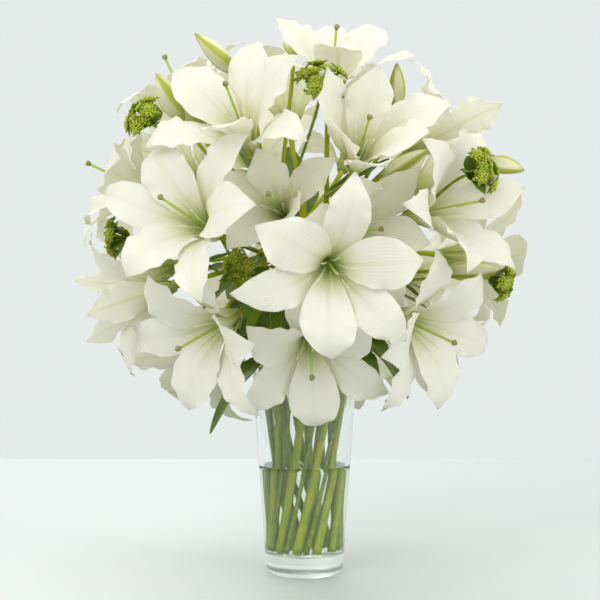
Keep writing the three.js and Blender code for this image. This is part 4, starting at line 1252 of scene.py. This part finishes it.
def leaf_material(name, greens):
    """Leaf: waxy and dark above, dull and paler below, with a pale midrib and side veins that sink in. The
    side veins leave the midrib every 4 to 8 mm."""

    def colour(tree):
        at = surface_places(tree)
        back = node(tree, "Attribute", output="Fac", attribute_name="mark")
        centred = node(tree, "Math", (at.across, 0.5), operation="SUBTRACT")
        aside = node(tree, "Math", [centred], operation="ABSOLUTE")
        slant = node(tree, "Math", (aside, -34.0), operation="MULTIPLY")
        phase = node(tree, "Math", (at.along, 60.0, slant), operation="MULTIPLY_ADD")
        crest = node(tree, "Math", [phase], operation="SINE")
        veins = node(tree, "MapRange", (crest, 0.8, 1.0, 0.0, 0.45), **SOFT)
        midrib = node(tree, "MapRange", (aside, 0.006, 0.03, 1.0, 0.0), **SOFT)
        lines = node(tree, "Math", (veins, midrib), operation="MAXIMUM")
        face = node(tree, "Mix", {0: back, 6: greens.leaf, 7: greens.leaf_back}, 2, data_type="RGBA")
        face, cloud = mottled(tree, face, greens.filler, at.place, 70.0, 3.0, (0.4, 0.75), 0.5)
        drawn = node(tree, "Math", (lines, 0.55), operation="MULTIPLY")
        body = node(tree, "Mix", {0: drawn, 6: face, 7: greens.vein}, 2, data_type="RGBA")
        return body, node(tree, "Math", (cloud, lines), operation="SUBTRACT")

    return tissue(name, colour, roughness=0.36, specular=0.5, through=0.2, relief=0.25)


def speckled_material(name, light, dark, scale):
    """Small bracts and florets: matt fresh tissue, speckled in two greens at about a bract's length."""

    def colour(tree):
        place = node(tree, "TexCoord", output="Object")
        return mottled(tree, light, dark, place, scale, 3.0, (0.38, 0.68), **SOFT)

    return tissue(name, colour, roughness=0.5, specular=0.4, through=0.2, relief=0.1)


def clear_material(name, tint, refraction, worn=0.0):
    """Glass or water: bends what is seen through it, and lets the lamps' light pass to what stands in it. A
    worn glass is matt on its seat and clears up within the lowest 8 mm."""
    material, tree = new_material(name)
    inputs = {"Base Color": tint, "Roughness": 0.0, "IOR": refraction, "Transmission Weight": 1.0}
    if worn:
        place = node(tree, "TexCoord", output="Object")
        height = node(tree, "SeparateXYZ", [place], output="Z")
        inputs["Roughness"] = node(tree, "MapRange", (height, 1 * MM, 8 * MM, worn, 0.0))
    clear = node(tree, "BsdfPrincipled", inputs)
    passing = node(tree, "BsdfTransparent", {"Color": tint})
    shadow = node(tree, "LightPath", output="Is Shadow Ray")
    node(tree, "OutputMaterial", {"Surface": node(tree, "MixShader", (shadow, clear, passing))})
    return material


# Operators, one for each group of like pieces


class LILIES_OT_vase(bpy.types.Operator):
    """Make the glass vase and the water in it"""
    """Make the glass vase and the water in it"""

    bl_idname = "lilies.vase"
    bl_label = "Vase and water"

    def execute(self, context):
        settings = context.scene.lilies_vase
        sizes = vase_sizes(settings)
        clear = clear_material("soda_lime_glass_clear", settings.glass_colour, 1.5, 0.5)
        make_piece("glass_vase", lathe(glass_profile(sizes), 160), clear, ("vase",))
        still = clear_material("still_water", settings.water_colour, 1.333)
        make_piece("vase_water", lathe(water_profile(sizes), 128), still, ("water",))
        return {"FINISHED"}


class LILIES_OT_stems(bpy.types.Operator):
    """Make the lily stems with the stalks of their blooms and buds"""

    bl_idname = "lilies.stems"
    bl_label = "Lily stems"

    def execute(self, context):
        greens = context.scene.lilies_greens
        found = bouquet(context.scene.lilies_flowers)
        material = stem_material("lily_stem_waxy_green", greens.stem, greens.stem_dark, greens.stem_pale)
        for n, stem in enumerate(LILY_STEMS):
            rim, ring, fork, blooms, buds = stem
            bend = bend_of(rim, ring, fork)
            surface = stem_surface(rim, ring, fork, STEM_RADIUS, n)
            for order, i in enumerate(blooms):
                pedicel_surface(surface, bend, share_of(stem, order), found.blooms[i])
            for order, b in enumerate(buds):
                bud_stalk_surface(surface, bend, share_of(stem, len(blooms) + order), BUDS[b])
            nodes = (f"lily_stem_{n + 1:02d}",)
            make_piece(f"lily_stalks_{n + 1:02d}", surface, material, nodes)
        return {"FINISHED"}


class LILIES_OT_blooms(bpy.types.Operator):
    """Make the open blooms, each of six tepals on a short cup"""

    bl_idname = "lilies.blooms"
    bl_label = "Blooms"

    def execute(self, context):
        settings = context.scene.lilies_flowers
        found = bouquet(settings)
        material = tepal_material(settings)
        for i, bloom in enumerate(found.blooms):
            surface = Surface()
            cup_surface(surface, bloom)
            for k in range(6):
                traits = tepal_traits(i, k, bloom, found.sizes)
                tepal_surface(surface, bloom, traits, midrib_of(traits, found.openings[i][k]), settings)
            make_piece(f"tepals_{i + 1:02d}", surface, material, (f"bloom_{i + 1:02d}",))
        return {"FINISHED"}


class LILIES_OT_pistils(bpy.types.Operator):
    """Make the pistils and the filaments of the blooms"""

    bl_idname = "lilies.pistils"
    bl_label = "Pistils and filaments"

    def execute(self, context):
        settings = context.scene.lilies_flowers
        found = bouquet(settings)
        styles = pistil_material(settings)
        threads = filament_material(settings)
        for i, bloom in enumerate(found.blooms):
            least = min(found.openings[i])
            make_piece(f"pistil_{i + 1:02d}", style_surface(bloom, i, least), styles)
            make_piece(f"filaments_{i + 1:02d}", filament_surfaces(bloom, i, least), threads)
        return {"FINISHED"}


class LILIES_OT_buds(bpy.types.Operator):
    """Make the closed buds"""

    bl_idname = "lilies.buds"
    bl_label = "Buds"

    def execute(self, context):
        material = bud_material(context.scene.lilies_flowers)
        for n, bud in enumerate(BUDS):
            nodes = (f"bud_{n + 1:02d}",)
            make_piece(f"closed_bud_{n + 1:02d}", bud_surface(*bud), material, nodes)
        return {"FINISHED"}


class LILIES_OT_leaves(bpy.types.Operator):
    """Make the broad toothed leaves at the rim and the slender leaves inside the bouquet"""

    bl_idname = "lilies.leaves"
    bl_label = "Leaves"

    def execute(self, context):
        greens = context.scene.lilies_greens
        found = bouquet(context.scene.lilies_flowers)
        material = leaf_material("lily_leaf_waxy_green", greens)
        thickness = greens.leaf_thickness
        for n, stem in enumerate(LILY_STEMS):
            surface = Surface()
            bend = bend_of(*stem[:3])
            for order, (owner, share, heading, rise, droop, length, half_width) in enumerate(LEAVES):
                if owner == n:
                    start = bezier(bend, [share])[0]
                    along = direction(heading, rise)
                    size = (length, half_width, droop)
                    leaf_surface(surface, start, along, size, thickness, order, greens.leaf_teeth)
            foliage(surface, bend, thickness, 900 + 40 * n, found.points)
            make_piece(f"leaves_{n + 1:02d}", surface, material)
        return {"FINISHED"}


class LILIES_OT_filler(bpy.types.Operator):
    """Make the thin filler stems with their heads of small star-shaped flowers"""

    bl_idname = "lilies.filler"
    bl_label = "Filler sprays"

    def execute(self, context):
        greens = context.scene.lilies_greens
        bracts = speckled_material("filler_bract_fresh_green", greens.filler, greens.stem_dark, 160.0)
        tiny = speckled_material("filler_floret_yellow_green", greens.floret, greens.filler, 420.0)
        waxy = leaf_material("filler_leaf_waxy_green", greens)
        for n, (rim, fork, heads) in enumerate(FILLER_STEMS):
            florets = Surface()
            leaves = Surface()
            bend = bend_of(rim, "filler", fork)
            green = stem_surface(rim, "filler", fork, FILLER_RADIUS, 60 + n)
            for h in heads:
                head_surfaces(green, florets, leaves, bend, HEADS[h], h + 1, greens.leaf_thickness)
            make_piece(f"spray_{n + 1:02d}", green, bracts, (f"filler_stem_{n + 1:02d}",))
            make_piece(f"spray_florets_{n + 1:02d}", florets, tiny)
            make_piece(f"spray_leaves_{n + 1:02d}", leaves, waxy)
        return {"FINISHED"}


class LILIES_OT_stage(bpy.types.Operator):
    """Make the pale table, the backdrop, the lamps and the camera"""

    bl_idname = "lilies.stage"
    bl_label = "Stage"

    def execute(self, context):
        settings = context.scene.lilies_stage
        self.table(settings)
        self.backdrop(context.scene, settings)
        self.lamps(settings)
        self.camera(context.scene, settings)
        return {"FINISHED"}

    def table(self, settings):
        """A flat pale table, a hair below the foot, with faint clouds."""
        back = settings.table_back
        low = -0.0003
        corners = [(-1.6, -1.6, low), (1.6, -1.6, low), (1.6, back, low), (-1.6, back, low)]
        mesh = bpy.data.meshes.new("table")
        mesh.from_pydata(corners, [], [(0, 1, 2, 3)])
        material, tree = new_material("table_honed_stone")
        place = node(tree, "TexCoord", output="Object")
        cloud = node(tree, "TexNoise", {"Vector": place, "Scale": 2.5, "Detail": 5.0, "Roughness": 0.6})
        patch = node(tree, "MapRange", (cloud, 0.45, 0.75, 0.0, 0.5))
        body = node(tree, "Mix", {0: patch, 6: settings.table, 7: settings.table_shade}, 2, data_type="RGBA")
        inputs = {"Base Color": body, "Roughness": 0.45, "Specular IOR Level": 0.3}
        node(tree, "OutputMaterial", {"Surface": node(tree, "BsdfPrincipled", inputs)})
        mesh.materials.append(material)
        table = put_in_scene("table", mesh)

    def backdrop(self, scene, settings):
        """A world that is seen as a pale grey backdrop and lights the flowers softly from all around."""
        world = bpy.data.worlds.new("studio")
        world.use_nodes = True
        tree = world.node_tree
        tree.nodes.clear()
        seen = node(tree, "Background", {"Color": settings.backdrop, "Strength": 1.0})
        felt = node(tree, "Background", {"Color": settings.ambient, "Strength": settings.light})
        soft = node(tree, "LightPath", output="Is Diffuse Ray")
        node(tree, "OutputWorld", {"Surface": node(tree, "MixShader", (soft, seen, felt))})
        scene.world = world

    def lamps(self, settings):
        """Four square lamps turned to the bouquet, each with its place, its size in metres and its watts."""
        places = (
            ("key", (-1.2, -1.6, 1.6), 1.2, 19.5),
            ("fill", (1.6, -1.2, 0.9), 1.3, 13.5),
            ("top", (0.2, 0.3, 2.1), 1.4, 8.0),
            ("rim", (-0.6, 1.7, 1.2), 0.9, 8.0),
        )
        for name, place, size, power in places:
            lamp = bpy.data.lights.new(name, "AREA")
            lamp.size = size
            lamp.energy = power * settings.light
            made = put_in_scene(name, lamp)
            made.location = place
            made.rotation_euler = (Vector(place) - Vector(CENTRE * MM)).to_track_quat("Z", "Y").to_euler()

    def camera(self, scene, settings):
        """A level camera in front of the vase."""
        data = bpy.data.cameras.new("camera")
        data.lens = settings.lens
        data.sensor_width = 36
        made = put_in_scene("camera", data)
        made.location = (settings.side, -settings.distance, settings.eye)
        made.rotation_euler = (math.pi / 2, 0, 0)
        scene.camera = made
        scene.view_settings.view_transform = "Standard"


class LILIES_PT_panel(bpy.types.Panel):
    """Lists the steps that make the lilies and their vase"""

    bl_idname = "LILIES_PT_panel"
    bl_label = "Lilies in a vase"
    bl_space_type = "VIEW_3D"
    bl_region_type = "UI"
    bl_category = "Lilies"

    def draw(self, context):
        for operator in OPERATORS:
            self.layout.operator(operator.bl_idname)
        for name in SETTINGS:
            settings = getattr(context.scene, name)
            box = self.layout.box()
            for setting in settings.bl_rna.properties.keys():
                if setting not in ("name", "rna_type"):
                    box.prop(settings, setting)


OPERATORS = (
    LILIES_OT_vase,
    LILIES_OT_stems,
    LILIES_OT_blooms,
    LILIES_OT_pistils,
    LILIES_OT_buds,
    LILIES_OT_leaves,
    LILIES_OT_filler,
    LILIES_OT_stage,
)
SETTINGS = {
    "lilies_vase": VaseSettings,
    "lilies_flowers": FlowerSettings,
    "lilies_greens": GreenSettings,
    "lilies_stage": StageSettings,
}


def register():
    """Registers the settings, the operators and the panel."""
    for name, group in SETTINGS.items():
        bpy.utils.register_class(group)
        setattr(bpy.types.Scene, name, PointerProperty(type=group))
    for kind in (*OPERATORS, LILIES_PT_panel):
        bpy.utils.register_class(kind)


def unregister():
    """Takes everything that register added away again."""
    for kind in reversed((*OPERATORS, LILIES_PT_panel)):
        bpy.utils.unregister_class(kind)
    for name, group in reversed(SETTINGS.items()):
        delattr(bpy.types.Scene, name)
        bpy.utils.unregister_class(group)


def main():
    """Makes every piece in order."""
    register()
    for operator in OPERATORS:
        group, name = operator.bl_idname.split(".")
        getattr(getattr(bpy.ops, group), name)()


if __name__ == "__main__":
    main()
